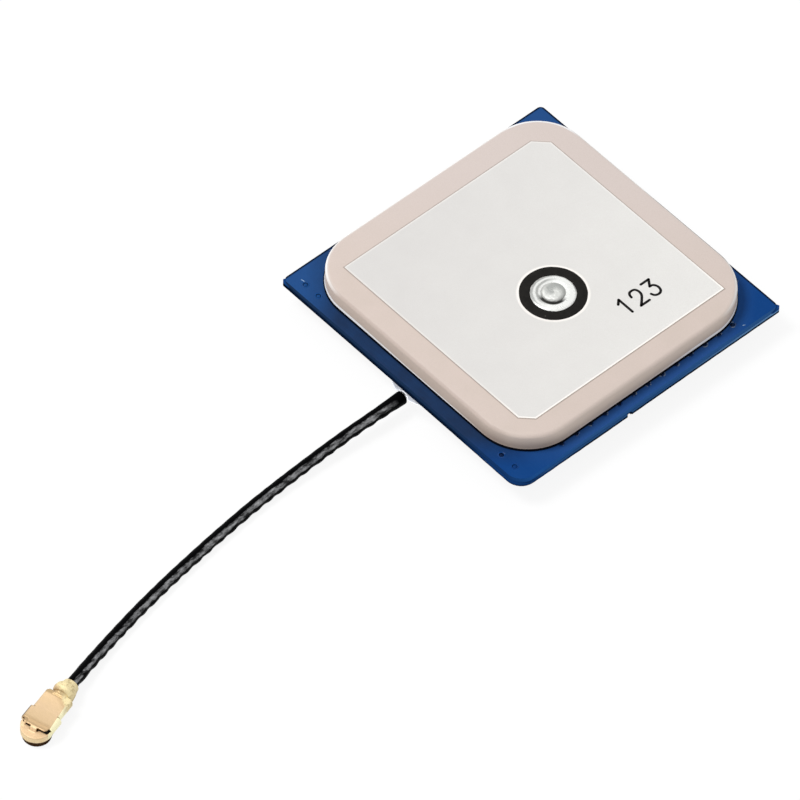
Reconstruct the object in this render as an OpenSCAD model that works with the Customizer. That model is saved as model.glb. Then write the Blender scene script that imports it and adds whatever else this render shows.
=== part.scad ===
// Active satellite patch antenna. A square of fired ceramic with a silver face is stuck on a
// circuit board. A tinned shield can under the board covers the amplifier. A short thin coaxial
// lead is soldered to the board's edge and ends in a folded push-on plug.
// Millimetres, +Z up. The origin is the middle of the can's underside, on which it all rests.
// The lead leaves over the board's -Y edge.

/* [Circuit board] */
// Side of the square board
board_side = 26.8; // [26.4:0.2:28]
// Thickness of the board
board_t = 0.8; // [0.6:0.1:1.6]
// Radius of three of the board's corners
board_corner_r = 0.4; // [0.1:0.1:1.2]
// Radius of the near corner (+X, -Y), which is worn round
worn_corner_r = 1.4; // [0.4:0.1:2]
// Diameter of the ground vias round the rim
via_d = 0.4; // [0.2:0.05:0.6]
// From a board edge to the middle of its row of vias
via_inset = 0.9; // [0.7:0.05:1]
// Spacing of the vias
via_pitch = 1.48; // [1:0.04:1.6]
// Thickness of the copper lands under the board
land_t = 0.035; // [0.02:0.005:0.07]

/* [Ceramic patch] */
// Side of the square ceramic
ceramic_side = 25; // [24:0.2:25.8]
// Thickness of the ceramic
ceramic_t = 1.6; // [1.2:0.1:4]
// Radius of the ceramic's upright corners
ceramic_corner_r = 4.2; // [2:0.2:5]
// Radius of the ceramic's fired top edge
ceramic_edge_r = 0.35; // [0.1:0.05:0.6]
// Offset of the ceramic from the middle of the board along X
ceramic_shift_x = -0.15; // [-0.2:0.05:0.2]
// Offset of the ceramic from the middle of the board along Y
ceramic_shift_y = 0.15; // [-0.2:0.05:0.2]
// Thickness of the fired silver on both faces
silver_t = 0.03; // [0.01:0.01:0.06]
// Size of the silver on the top face along X
electrode_x = 20.6; // [18:0.1:21.6]
// Size of the silver on the top face along Y
electrode_y = 20.45; // [18:0.05:21.6]
// Offset of the silver from the middle of the ceramic along X
electrode_shift_x = 0.3; // [0:0.1:0.5]
// Cut of the far corner of the silver (-X, +Y), which tunes the patch
far_chamfer = 1.1; // [0.5:0.1:2]
// Cut of the near corner of the silver (+X, -Y)
near_chamfer = 0.95; // [0.5:0.05:2]
// Thickness of the adhesive pad under the ceramic
pad_t = 0.05; // [0.03:0.01:0.2]
// From the ceramic's edge in to the pad and to the silver underneath
pad_inset = 0.4; // [0.2:0.1:1]

/* [Feed point] */
// Middle of the feed pin along X
feed_x = 2.25; // [1:0.05:3.5]
// Middle of the feed pin along Y
feed_y = 0.2; // [-1:0.05:1]
// Diameter of the feed pin
pin_d = 0.9; // [0.6:0.1:1]
// Diameter of the pin's head
pin_head_d = 1.8; // [1.4:0.1:2.2]
// Height of the pin's domed head
pin_head_h = 0.36; // [0.2:0.02:0.5]
// Outer diameter of the black resist ring
resist_d = 5.3; // [4.6:0.1:6.4]
// Diameter of the solder puddle inside the ring
puddle_d = 3.56; // [2.8:0.04:4]
// Height of the solder puddle at its crown
puddle_h = 0.2; // [0.1:0.02:0.3]
// Thickness of the printed resist ring
resist_t = 0.04; // [0.02:0.01:0.08]
// Clearance of the pin in the board
pin_fit = 0.05; // [0.03:0.01:0.2]

/* [Shield can] */
// Side of the square shield can
can_side = 22; // [20:0.2:22.6]
// Height of the board's underside above the surface that the can rests on
can_h = 2; // [1.8:0.1:3]
// Thickness of the can's tinned sheet
can_sheet = 0.2; // [0.15:0.05:0.3]
// Outside radius of the can's folds
can_fold_r = 0.5; // [0.35:0.05:0.8]
// Open slit between two walls of the can at each corner
can_slit = 0.4; // [0.2:0.1:1]
// Leg of the solder fillets that hold the can
fillet_leg = 0.5; // [0.3:0.05:0.7]

/* [Coaxial lead] */
// Diameter of the black jacket
jacket_d = 0.98; // [0.9:0.01:1.2]
// Diameter over the braid
braid_d = 0.8; // [0.7:0.01:0.86]
// Diameter of the white dielectric
dielectric_d = 0.6; // [0.5:0.01:0.66]
// Diameter of the inner conductor
core_d = 0.22; // [0.16:0.02:0.3]
// Where the lead crosses the board's edge, along X
exit_x = 0.5; // [-2:0.02:2]
// From the board's edge to the end of the jacket
jacket_gap = 0.1; // [0.05:0.05:0.5]
// How far the solder on the braid shows beyond the board's edge
blob_over = 0.5; // [0.2:0.1:0.8]
// Height of the solder blob over the braid
blob_h = 0.9; // [0.6:0.1:1.2]

/* [Plug] */
// Thickness of the plug's sheet
plug_sheet = 0.12; // [0.1:0.01:0.16]
// Inner diameter of the mouth that presses over a socket
mouth_d = 2; // [1.9:0.02:2.1]
// Depth of the mouth below the step in its wall
mouth_depth = 0.43; // [0.35:0.01:0.5]
// How far the wall steps out above the mouth
mouth_step = 0.12; // [0.08:0.01:0.15]
// Height of the collar round the mouth
collar_h = 1.13; // [1.05:0.01:1.2]
// Height of the plug at the top of its lid
plug_h = 1.5; // [1.46:0.01:1.6]
// Width of the lid behind the collar
tail_w = 2.3; // [2:0.05:2.5]
// How far the lid's wings reach down from its top
wing_h = 0.56; // [0.4:0.02:0.7]
// Width of the hinge strap that joins the collar to the lid
strap_w = 0.55; // [0.4:0.05:0.8]
// Length of the crimped barrel over the jacket
crimp_len = 2.1; // [1.6:0.1:2.6]
// Clearance between the plug's pieces
plug_fit = 0.02; // [0.01:0.01:0.04]

/* [Hidden] */
$fn = 64;

// Levels, from the surface up
land_z = can_h - land_t;
board_top = can_h + board_t;
ground_z = board_top + pad_t;
ceramic_z = ground_z + silver_t;
ceramic_top = ceramic_z + ceramic_t;
face_z = ceramic_top + silver_t;

// Via rows: thirteen along a side, two by each end of the lead's side
via_line = board_side / 2 - via_inset;
via_count = 13;
via_row_middle = 0.55;
via_ends = [7, 8];

// A small break in the lower +X edge, where the board was broken out of its panel
nick_y = -2.14;
nick = 0.3;

// Pin: clear holes round it, its land, its tail below the board and the cone of solder
pin_hole_d = pin_d + 0.3;
ground_hole_d = pin_d + 1.3;
pin_land_d = pin_d + 1.3;
pin_tail = 0.75;
pin_end_z = can_h - pin_tail;
joint_h = 0.5;
joint_margin = 0.1;
head_rim_over = 0.35;

// Can: the land under its walls, its fillets of solder and the slot for the lead
can_half = can_side / 2;
frame_outside = 0.6;
frame_inside = 0.5;
frame_corner_r = 0.6;
fillet_len = 2.4;
fillet_from_corner = 4.4;
fillet_gap = 0.02;
entry_w = dielectric_d + 0.4;

// Lead at the board
solder_film = 0.06;
cable_z = land_z - solder_film - braid_d / 2;
jacket_end_y = -board_side / 2 - jacket_gap;
braid_end_y = -can_half - 0.4;
dielectric_end_y = -can_half + 0.6;
core_end_y = dielectric_end_y + 0.9;
core_land = [1.4, 1.8];
core_land_y = core_end_y - 0.2;
core_joint_r = 0.8;
core_joint_h = 0.7;
braid_land_w = 4.2;
braid_land_inset = 0.2;
blob_middle_y = -can_half - 0.3;
blob_r = board_side / 2 + blob_over + blob_middle_y;

// Parts under the can: middle along X, middle along Y, turn
first_amplifier_place = [5.6, 0.2, 0];
second_amplifier_place = [0.6, -5.4, 90];
saw_place = [5.2, -5.2, 0];
capacitor_places = [
    [5.6, -2.3, 0], [8.5, 0.2, 90], [5.6, 2.7, 0], [8.5, -5.2, 90],
    [-1.9, -5.4, 90], [-1.9, -8.4, 90], [0.6, -3, 0]
];
resistor_places = [[8.5, 2.7, 90], [-3.5, -5.4, 90], [-3.5, -8.4, 90]];
inductor_places = [[2.7, -2.4, 90], [3.4, -8.6, 90]];
chip_size = [1, 0.5];
chip_cap = 0.25;
chip_proud = 0.02;
solder_edge = 0.1;
capacitor_h = 0.5;
resistor_h = 0.35;
inductor_h = 0.55;
amplifier_body = [2, 1.25, 0.85];
amplifier_span = 2.1;
lead_w = 0.3;
lead_t = 0.12;
lead_x = 0.65;
lead_foot = 0.4;
saw_side = 3;
saw_base_h = 0.6;
saw_lid_h = 0.4;
saw_lid_inset = 0.2;

// Plug: its place on the surface, and the turn of its axis from -Y towards +X
plug_at = [5.84, -54.875];
plug_turn = 16;
mouth_r = mouth_d / 2;
collar_in = mouth_r + mouth_step;
collar_r = collar_in + plug_sheet;
step_rise = mouth_step;
lid_z = plug_h - plug_sheet;
plug_core_z = lid_z - plug_fit - braid_d / 2;
strap_fold = (lid_z - collar_h) / 2;
lid_front = -0.35;
head_w = 2 * (collar_r + plug_fit + plug_sheet);
cap_back = lid_front - strap_fold * 2 - plug_sheet;
cap_edge = lid_front + 0.05;
strap_gap = 0.05;
lid_corner = 0.3;
head_wing = [0, 1.24];
tail_wing = [1.32, 2.6];
head_fold_r = 0.33;
tail_fold_r = 0.2;
crimp_start = tail_wing[1];
crimp_end = crimp_start + crimp_len;
crimp_in = jacket_d / 2 + plug_fit;
crimp_out = crimp_in + plug_sheet;
// How far the barrel swells beyond its tight end: [share of its length, extra radius]
crimp_swell = [[0, 0.06], [0.2, 0.18], [0.42, 0.23], [0.65, 0.18], [0.85, 0.07], [1, 0]];
crimp_lap = [0.1, 0.74];
neck_over = 0.12;
tongue_w = 1.2;
tongue_drop = 0.03;
slot_w = 1;
boss_r = 0.7;
boss_base = 0.15;
contact_r = 0.34;
contact_bore = 0.2;
contact_strip = 0.12;
contact_gap = 0.08;
slot_top = 0.44;
strip_z = plug_core_z - core_d / 2 - contact_strip;
strip_w = 0.5;
strip_end = 1.9;
core_tip = 0.5;
arm_end = 1.95;
arm_w = 0.92;
braid_clamp = 0.6;
jacket_in_plug = crimp_start + 0.15;

// The lead's middle line, from the end of the jacket at the board to its end in the plug
lie_z = jacket_d / 2;
route = concat(
    [[exit_x, jacket_end_y, cable_z], [exit_x, jacket_end_y - 1.5, cable_z]],
    [
        [0.45, -16.8, 1.42], [0.35, -18.6, 1.26], [0.27, -20.6, 1.05], [0.24, -22.6, 0.85],
        [0.25, -24.6, 0.69], [0.31, -26.6, 0.58], [0.44, -28.8, lie_z + 0.03],
        [0.66, -31, lie_z], [0.92, -33.2, lie_z], [1.22, -35.4, lie_z], [1.54, -37.6, lie_z],
        [1.91, -39.8, lie_z], [2.32, -42, lie_z], [2.78, -44.1, lie_z + 0.01],
        [3.28, -46.1, 0.58], [3.84, -48.1, 0.75]
    ],
    [along_plug(crimp_end + 0.35), along_plug(jacket_in_plug)]
);
tube_sides = 8;

// A point on the lead's middle line inside the plug, y behind the middle of the mouth
function along_plug(y) = [
    plug_at[0] - y * sin(plug_turn),
    plug_at[1] + y * cos(plug_turn),
    plug_core_z
];

function unit(v) = v / norm(v);

// Direction of a route at point k
function heading(path, k) =
    k == 0 ? unit(path[1] - path[0]) :
    k == len(path) - 1 ? unit(path[k] - path[k - 1]) :
    unit(unit(path[k + 1] - path[k]) + unit(path[k] - path[k - 1]));

// Ring of points round point k of a route, with one point straight below
function tube_ring(path, k, r) =
    let (
        ahead = heading(path, k),
        side = unit(cross(ahead, [0, 0, 1])),
        up = cross(side, ahead)
    )
    [for (i = [0 : tube_sides - 1])
        let (a = -90 + i * 360 / tube_sides)
        path[k] + r * (cos(a) * side + sin(a) * up)];

// Two triangles for each side of the tube between ring k and the next
function tube_band(k) = [
    for (i = [0 : tube_sides - 1])
        let (
            a = k * tube_sides + i,
            b = k * tube_sides + (i + 1) % tube_sides
        )
        each [[a, a + tube_sides, b], [b, a + tube_sides, b + tube_sides]]
];

module tube(path, d) {
    last = (len(path) - 1) * tube_sides;
    polyhedron(
        points = [for (k = [0 : len(path) - 1]) each tube_ring(path, k, d / 2)],
        faces = concat(
            [[for (i = [0 : tube_sides - 1]) i]],
            [for (k = [0 : len(path) - 2]) each tube_band(k)],
            [[for (i = [tube_sides - 1 : -1 : 0]) last + i]]
        )
    );
}

// Rectangle with round corners, about the origin
module rounded_outline(w, d, r) {
    square([w - 2 * r, d], center = true);
    square([w, d - 2 * r], center = true);
    for (x = [-1, 1], y = [-1, 1])
        translate([x * (w / 2 - r), y * (d / 2 - r)]) circle(r);
}

// Section of a block's rim: reach wide, h high, with its upper edge eased
module eased_section(reach, h, ease) {
    square([reach - ease, h]);
    square([reach, h - ease]);
    translate([reach - ease, h - ease]) circle(ease);
}

// Square block with round upright corners and an eased upper edge
module eased_block(side, h, corner, ease) {
    straight = side - 2 * corner;
    linear_extrude(h) square(straight, center = true);
    for (turn = [0 : 90 : 270]) rotate(turn) {
        translate([straight / 2, 0, 0]) rotate([90, 0, 0])
            linear_extrude(straight, center = true) eased_section(corner, h, ease);
        translate([straight / 2, straight / 2, 0])
            rotate_extrude(angle = 90) eased_section(corner, h, ease);
    }
}

// Part of a ball: base of radius r, h high
module dome(r, h) {
    ball_r = (r * r + h * h) / (2 * h);
    intersection() {
        translate([0, 0, h - ball_r]) sphere(ball_r, $fn = 96);
        cylinder(h = h + 1, r = r + 1);
    }
}

// Ring of sheet between two radii, over part of a turn
module arc_section(inner, outer, from, to) {
    difference() {
        circle(outer);
        circle(inner);
        for (turn = [to, from - 180]) rotate(turn)
            translate([-2 * outer, 0]) square([4 * outer, 2 * outer]);
    }
}

module at_ceramic(z) translate([ceramic_shift_x, ceramic_shift_y, z]) children();

module at_feed(z) translate([feed_x, feed_y, z]) children();

module at_plug() translate([plug_at[0], plug_at[1], 0]) rotate(plug_turn) children();

// Places children on the board's lands, hanging down, with their own +Z away from the board
module under_board(place)
    translate([place[0], place[1], land_z]) rotate(place[2]) mirror([0, 0, 1]) children();

module pin_clearance(d) at_feed(0) cylinder(h = face_z + 1, d = d);

module ceramic_substrate() {
    color("#dcc9bf")
    difference() {
        at_ceramic(ceramic_z)
            eased_block(ceramic_side, ceramic_t, ceramic_corner_r, ceramic_edge_r);
        pin_clearance(pin_hole_d);
    }
}

// Silver face with two opposite corners cut
module electrode_outline() {
    x = electrode_x / 2;
    y = electrode_y / 2;
    polygon([
        [-x, -y], [x - near_chamfer, -y], [x, -y + near_chamfer],
        [x, y], [-x + far_chamfer, y], [-x, y - far_chamfer]
    ]);
}

module patch_electrode() {
    color("#e6e5e2")
    difference() {
        at_ceramic(ceramic_top) translate([electrode_shift_x, 0, 0])
            linear_extrude(silver_t) electrode_outline();
        pin_clearance(pin_hole_d);
    }
}

// Layer between the ceramic and the board, set in from the ceramic's edge
module under_layer(z, t) {
    side = ceramic_side - 2 * pad_inset;
    difference() {
        at_ceramic(z) linear_extrude(t) rounded_outline(side, side, ceramic_corner_r - pad_inset);
        pin_clearance(ground_hole_d);
    }
}

module ground_electrode() {
    color("#d9d8d4") under_layer(ground_z, silver_t);
}

module adhesive_pad() {
    color("#2a2a2c") under_layer(board_top, pad_t);
}

module resist_ring() {
    color("#262422")
    at_feed(face_z) linear_extrude(resist_t) difference() {
        circle(d = resist_d, $fn = 96);
        circle(d = puddle_d, $fn = 96);
    }
}

module feed_pin() {
    color("#c9c9c4") {
        at_feed(pin_end_z) cylinder(h = face_z - pin_end_z, d = pin_d);
        at_feed(face_z) intersection() {
            cylinder(h = pin_head_h, d = pin_head_d);
            dome(pin_head_d / 2 + head_rim_over, pin_head_h);
        }
    }
}

// Bead of solder round the pin's head, out to the resist ring
module feed_solder() {
    inner = pin_head_d / 2;
    outer = puddle_d / 2;
    reach = (outer - inner) / 2;
    bead_r = (reach * reach + puddle_h * puddle_h) / (2 * puddle_h);
    color("#e9e9e6")
    at_feed(face_z) rotate_extrude($fn = 96) intersection() {
        translate([inner, 0]) square([outer - inner, puddle_h]);
        translate([inner + reach, puddle_h - bead_r]) circle(bead_r);
    }
}

module board_outline() {
    half = board_side / 2;
    difference() {
        rounded_outline(board_side, board_side, board_corner_r);
        translate([half - worn_corner_r, -half + worn_corner_r]) difference() {
            translate([0, -2 * worn_corner_r]) square(2 * worn_corner_r);
            circle(worn_corner_r);
        }
    }
}

module via_holes() {
    first = via_row_middle - via_pitch * (via_count - 1) / 2;
    for (k = [0 : via_count - 1]) {
        along = first + k * via_pitch;
        for (x = [-via_line, via_line]) translate([x, along]) circle(d = via_d, $fn = 24);
        translate([along, via_line]) circle(d = via_d, $fn = 24);
    }
    for (k = via_ends, side = [-1, 1])
        translate([side * k * via_pitch, -via_line]) circle(d = via_d, $fn = 24);
}

module circuit_board() {
    color("#184a8c")
    difference() {
        translate([0, 0, can_h]) linear_extrude(board_t) difference() {
            board_outline();
            via_holes();
            translate([feed_x, feed_y]) circle(d = pin_d + 2 * pin_fit);
        }
        translate([board_side / 2, nick_y, can_h]) rotate([0, 45, 0]) cube(nick, center = true);
    }
}

// Two lands under the ends of a chip part
module chip_lands(place) {
    outer = chip_size[0] / 2 + solder_edge;
    inner = chip_size[0] / 2 - chip_cap - solder_edge;
    translate([place[0], place[1]]) rotate(place[2])
        for (x = [-1, 1]) translate([x * (outer + inner) / 2, 0])
            square([outer - inner, chip_size[1] + solder_edge], center = true);
}

module amplifier_lands(place) {
    translate([place[0], place[1]]) rotate(place[2])
        for (x = [-lead_x, lead_x], y = [-1, 1]) translate([x, y * amplifier_span / 2])
            square([lead_w + solder_edge, lead_foot + 2 * solder_edge], center = true);
}

// Copper under the board: frame for the can, lands for the lead, the pin and the parts
module board_lands() {
    frame_out = can_side + 2 * frame_outside;
    frame_in = can_side - 2 * frame_inside;
    color("#c8a24a")
    translate([0, 0, land_z]) linear_extrude(land_t) {
        difference() {
            rounded_outline(frame_out, frame_out, frame_corner_r);
            square(frame_in, center = true);
        }
        translate([exit_x - braid_land_w / 2, -board_side / 2 + braid_land_inset])
            square([braid_land_w, (board_side - can_side) / 2 - braid_land_inset]);
        translate([feed_x, feed_y]) difference() {
            circle(d = pin_land_d);
            circle(d = pin_d + 2 * pin_fit);
        }
        translate([exit_x, core_land_y]) square(core_land, center = true);
        for (place = concat(capacitor_places, resistor_places, inductor_places))
            chip_lands(place);
        amplifier_lands(first_amplifier_place);
        amplifier_lands(second_amplifier_place);
        translate([saw_place[0], saw_place[1]]) square(saw_side - 6 * solder_edge, center = true);
    }
}

// Solder cone round the pin under the board
module pin_solder() {
    reach = (pin_land_d - pin_d) / 2 - joint_margin;
    color("#d4d4d0")
    at_feed(land_z) rotate_extrude() translate([pin_d / 2, 0]) difference() {
        translate([0, -joint_h]) square([reach, joint_h]);
        translate([reach + joint_margin / 2, -joint_h - joint_margin / 2]) circle(joint_h);
    }
}

// Transistor package with two gull-wing leads on each long side
module amplifier(place) {
    riser_y = (lead_foot - lead_t) / 2;
    color("#1b1b1d")
    under_board(place) {
        translate([0, 0, lead_t + amplifier_body[2] / 2]) cube(amplifier_body, center = true);
        for (x = [-lead_x, lead_x], y = [-1, 1])
            translate([x, y * amplifier_span / 2, lead_t / 2]) {
                cube([lead_w, lead_foot, lead_t], center = true);
                translate([0, -y * riser_y, lead_foot / 2])
                    cube([lead_w, lead_t, lead_foot + lead_t], center = true);
                translate([0, -y * 2 * riser_y, lead_foot])
                    cube([lead_w, lead_foot, lead_t], center = true);
            }
    }
}

module first_amplifier() amplifier(first_amplifier_place);

module second_amplifier() amplifier(second_amplifier_place);

module saw_filter() {
    lid = saw_side - 2 * saw_lid_inset;
    color("#c9b27c")
    under_board(saw_place) {
        linear_extrude(saw_base_h) rounded_outline(saw_side, saw_side, 0.1);
        linear_extrude(saw_base_h + saw_lid_h) rounded_outline(lid, lid, 0.3);
    }
}

// Chip part: a body between two end caps that stand a little proud of it
module chip_part(place, h) {
    body_w = chip_size[1] - 2 * chip_proud;
    under_board(place) {
        translate([0, 0, h / 2])
            cube([chip_size[0], body_w, h - 2 * chip_proud], center = true);
        for (x = [-1, 1]) translate([x * (chip_size[0] - chip_cap) / 2, 0, h / 2])
            cube([chip_cap, chip_size[1], h], center = true);
    }
}

module capacitors() {
    color("#b98d63") for (place = capacitor_places) chip_part(place, capacitor_h);
}

module resistors() {
    color("#222225") for (place = resistor_places) chip_part(place, resistor_h);
}

module inductors() {
    color("#7c8087") for (place = inductor_places) chip_part(place, inductor_h);
}

// Section of one side of the can: half of the plate, the fold and the wall
module can_side_section() {
    inner_r = can_fold_r - can_sheet;
    translate([can_half - can_fold_r, can_fold_r]) arc_section(inner_r, can_fold_r, -90, 0);
    translate([can_half - can_sheet, can_fold_r]) square([can_sheet, land_z - can_fold_r]);
}

module shield_can() {
    flat = can_side - 2 * can_fold_r;
    wall_len = flat - 2 * can_slit;
    color("#c4c6c6")
    difference() {
        union() {
            linear_extrude(can_sheet) square(flat, center = true);
            for (turn = [0 : 90 : 270]) rotate([0, 0, turn]) rotate([90, 0, 0])
                linear_extrude(wall_len, center = true) can_side_section();
        }
        translate([exit_x - entry_w / 2, -can_half - 1, cable_z - entry_w / 2])
            cube([entry_w, 2, can_h]);
        for (x = [-1, 1], y = [-1, 1]) translate([x * flat / 2, y * flat / 2, -1])
            cylinder(h = 2, r = can_slit);
    }
}

// Hollow fillet of solder between the can's wall and its land
module can_fillet(len) {
    rotate([90, 0, 90]) linear_extrude(len, center = true) difference() {
        translate([-fillet_leg, -fillet_leg]) square(fillet_leg);
        translate([-fillet_leg - fillet_gap, -fillet_leg - fillet_gap]) circle(fillet_leg);
    }
}

module can_solder() {
    color("#d4d4d0")
    for (turn = [0 : 90 : 270], x = [-1, 1]) rotate(turn)
        translate([x * (can_half - fillet_from_corner), -can_half, land_z])
            can_fillet(fillet_len);
}

// Rod along the lead at the board, from y0 to y1
module lead_rod(y0, y1, d)
    translate([exit_x, y0, cable_z]) rotate([-90, 0, 0]) cylinder(h = y1 - y0, d = d);

// The same inside the plug, in the plug's own frame
module plug_rod(y0, y1, d)
    translate([0, y0, plug_core_z]) rotate([-90, 0, 0]) cylinder(h = y1 - y0, d = d);

// Solder that holds the braid down and shows along the board's edge beside the lead
module braid_solder() {
    color("#cfd0ce")
    difference() {
        translate([exit_x, blob_middle_y, land_z]) mirror([0, 0, 1]) dome(blob_r, blob_h);
        translate([exit_x - 2 * blob_r, blob_middle_y + 0.1, 0])
            cube([4 * blob_r, 2 * blob_r, can_h]);
        lead_rod(jacket_end_y - blob_r, jacket_end_y, jacket_d);
        lead_rod(jacket_end_y - blob_r, blob_middle_y + blob_r, braid_d);
    }
}

module core_solder() {
    color("#d4d4d0")
    difference() {
        translate([exit_x, core_end_y - 0.1, land_z]) mirror([0, 0, 1])
            dome(core_joint_r, core_joint_h);
        lead_rod(dielectric_end_y - 1, core_end_y, core_d);
    }
}

module coax_jacket() {
    color("#1c1c1e") tube(route, jacket_d);
}

module coax_braid() {
    color("#b9bab8") {
        difference() {
            lead_rod(jacket_end_y, braid_end_y, braid_d);
            lead_rod(jacket_end_y - 1, braid_end_y + 1, dielectric_d);
        }
        at_plug() difference() {
            plug_rod(jacket_in_plug - braid_clamp, jacket_in_plug, braid_d);
            plug_rod(0, crimp_end, dielectric_d);
        }
    }
}

module coax_dielectric() {
    color("#f1efe9") {
        difference() {
            lead_rod(jacket_end_y, dielectric_end_y, dielectric_d);
            lead_rod(jacket_end_y - 1, dielectric_end_y + 1, core_d);
        }
        at_plug() difference() {
            plug_rod(arm_end, jacket_in_plug, dielectric_d);
            plug_rod(0, crimp_end, core_d);
        }
    }
}

module coax_core() {
    color("#cda269") {
        lead_rod(jacket_end_y, core_end_y, core_d);
        at_plug() plug_rod(core_tip, jacket_in_plug, core_d);
    }
}

// Wall of the plug's mouth: it steps outwards above the part that grips the socket
module collar_section() {
    polygon([
        [mouth_r, 0], [mouth_r + plug_sheet, 0],
        [mouth_r + plug_sheet, mouth_depth - plug_sheet / 3],
        [collar_r, mouth_depth + step_rise - plug_sheet / 3],
        [collar_r, collar_h], [collar_in, collar_h],
        [collar_in, mouth_depth + step_rise], [mouth_r, mouth_depth]
    ]);
}

// Section of a folded lid: flat top, round folds and straight wings
module lid_section(w, fold_r) {
    inner_r = fold_r - plug_sheet;
    translate([-w / 2 + fold_r, plug_h - plug_sheet]) square([w - 2 * fold_r, plug_sheet]);
    for (side = [0, 1]) mirror([side, 0]) {
        translate([w / 2 - fold_r, plug_h - fold_r]) arc_section(inner_r, fold_r, 0, 90);
        translate([w / 2 - plug_sheet, plug_h - wing_h]) square([plug_sheet, wing_h - fold_r]);
    }
}

module lid_part(wing, w, fold_r) {
    translate([0, wing[1], 0]) rotate([90, 0, 0])
        linear_extrude(wing[1] - wing[0]) lid_section(w, fold_r);
}

// Hinge strap: it folds up from the collar's cap and back into the lid
module hinge_strap() {
    outer = strap_fold + plug_sheet;
    rotate([90, 0, 90]) linear_extrude(strap_w, center = true) {
        translate([cap_back, collar_h + strap_fold]) arc_section(strap_fold, outer, -90, 0);
        translate([lid_front, lid_z - strap_fold]) arc_section(strap_fold, outer, 90, 180);
    }
}

module plug_collar() {
    difference() {
        rotate_extrude() collar_section();
        translate([-slot_w / 2, 0, mouth_depth + step_rise])
            cube([slot_w, 2 * collar_r, collar_h]);
    }
    translate([0, 0, collar_h - plug_sheet]) linear_extrude(plug_sheet) difference() {
        intersection() {
            circle(collar_r);
            translate([-collar_r, -2 * collar_r + cap_edge]) square(2 * collar_r);
        }
        translate([-strap_w / 2 - strap_gap, cap_back])
            square([strap_w + 2 * strap_gap, collar_r]);
    }
}

module plug_lid() {
    head_flat = head_w - 2 * head_fold_r;
    tail_flat = tail_w - 2 * tail_fold_r;
    translate([0, 0, lid_z]) linear_extrude(plug_sheet) {
        translate([0, (lid_front + head_wing[1]) / 2])
            rounded_outline(head_flat, head_wing[1] - lid_front, lid_corner);
        translate([-tail_flat / 2, head_wing[0] + lid_corner])
            square([tail_flat, crimp_start + neck_over - head_wing[0] - lid_corner]);
    }
    lid_part(head_wing, head_w, head_fold_r);
    lid_part(tail_wing, tail_w, tail_fold_r);
}

// Wall of the swollen barrel, lifted off by a height
module barrel_section(lift) {
    last = len(crimp_swell) - 1;
    polygon(concat(
        [for (p = crimp_swell) [crimp_in + p[1] + lift, p[0] * crimp_len]],
        [for (k = [last : -1 : 0])
            [crimp_out + crimp_swell[k][1] + lift, crimp_swell[k][0] * crimp_len]]
    ));
}

// Barrel rolled round the jacket, with one wing lapped over the other on top
module crimp_barrel() {
    translate([0, crimp_start, plug_core_z]) rotate([-90, 0, 0]) {
        rotate_extrude() barrel_section(0);
        rotate([0, 0, -150]) rotate_extrude(angle = 115) intersection() {
            barrel_section(plug_sheet - 0.01);
            translate([0, crimp_lap[0] * crimp_len])
                square([2 * crimp_out, (crimp_lap[1] - crimp_lap[0]) * crimp_len]);
        }
    }
}

// Sheet that runs under the dielectric from the collar's wall to the barrel
module plug_tongue() {
    difference() {
        translate([-tongue_w / 2, 0, plug_core_z - crimp_out - tongue_drop])
            cube([tongue_w, crimp_start + neck_over, plug_sheet]);
        cylinder(h = plug_h, r = mouth_r + plug_sheet / 2);
    }
}

module plug_shell() {
    color("#e2c48f")
    at_plug() {
        plug_collar();
        plug_tongue();
        hinge_strap();
        difference() {
            union() {
                plug_lid();
                crimp_barrel();
                translate([-crimp_in, crimp_start - neck_over, lid_z])
                    cube([2 * crimp_in, 2 * neck_over, plug_sheet * 1.6]);
            }
            plug_rod(crimp_start, crimp_end + 1, 2 * crimp_in);
        }
    }
}

// Moulded disc in the collar, with a boss in the mouth and an arm under the contact
module plug_insulator() {
    disc_z = mouth_depth + step_rise;
    top_z = collar_h - plug_sheet;
    color("#1e1e20")
    at_plug() difference() {
        union() {
            translate([0, 0, disc_z]) cylinder(h = top_z - disc_z, r = collar_in - plug_fit);
            translate([0, 0, boss_base]) cylinder(h = top_z - boss_base, r = boss_r);
            translate([-arm_w / 2, 0, disc_z]) cube([arm_w, arm_end, top_z - disc_z]);
        }
        cylinder(h = strip_z, r = contact_r + plug_fit);
        translate([-strip_w / 2 - plug_fit, -contact_r - plug_fit, strip_z])
            cube([strip_w + 2 * plug_fit, crimp_end, top_z]);
        translate([0, 0, strip_z]) cylinder(h = top_z, r = contact_r + plug_fit);
    }
}

// Spring socket for the centre pin, with the strip that the core lies on
module plug_contact() {
    color("#e0b95f")
    at_plug() {
        difference() {
            translate([0, 0, boss_base]) cylinder(h = strip_z - boss_base, r = contact_r);
            cylinder(h = strip_z - contact_gap / 2, r = contact_bore);
            translate([-contact_gap / 2, -mouth_r, 0]) cube([contact_gap, 2 * mouth_r, slot_top]);
        }
        translate([0, 0, strip_z]) cylinder(h = contact_strip, r = contact_r);
        translate([-strip_w / 2, 0, strip_z]) cube([strip_w, strip_end, contact_strip]);
    }
}

ceramic_substrate();
patch_electrode();
ground_electrode();
adhesive_pad();
resist_ring();
feed_pin();
feed_solder();
circuit_board();
board_lands();
pin_solder();
first_amplifier();
second_amplifier();
saw_filter();
capacitors();
resistors();
inductors();
shield_can();
can_solder();
braid_solder();
core_solder();
coax_jacket();
coax_braid();
coax_dielectric();
coax_core();
plug_shell();
plug_insulator();
plug_contact();
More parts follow.
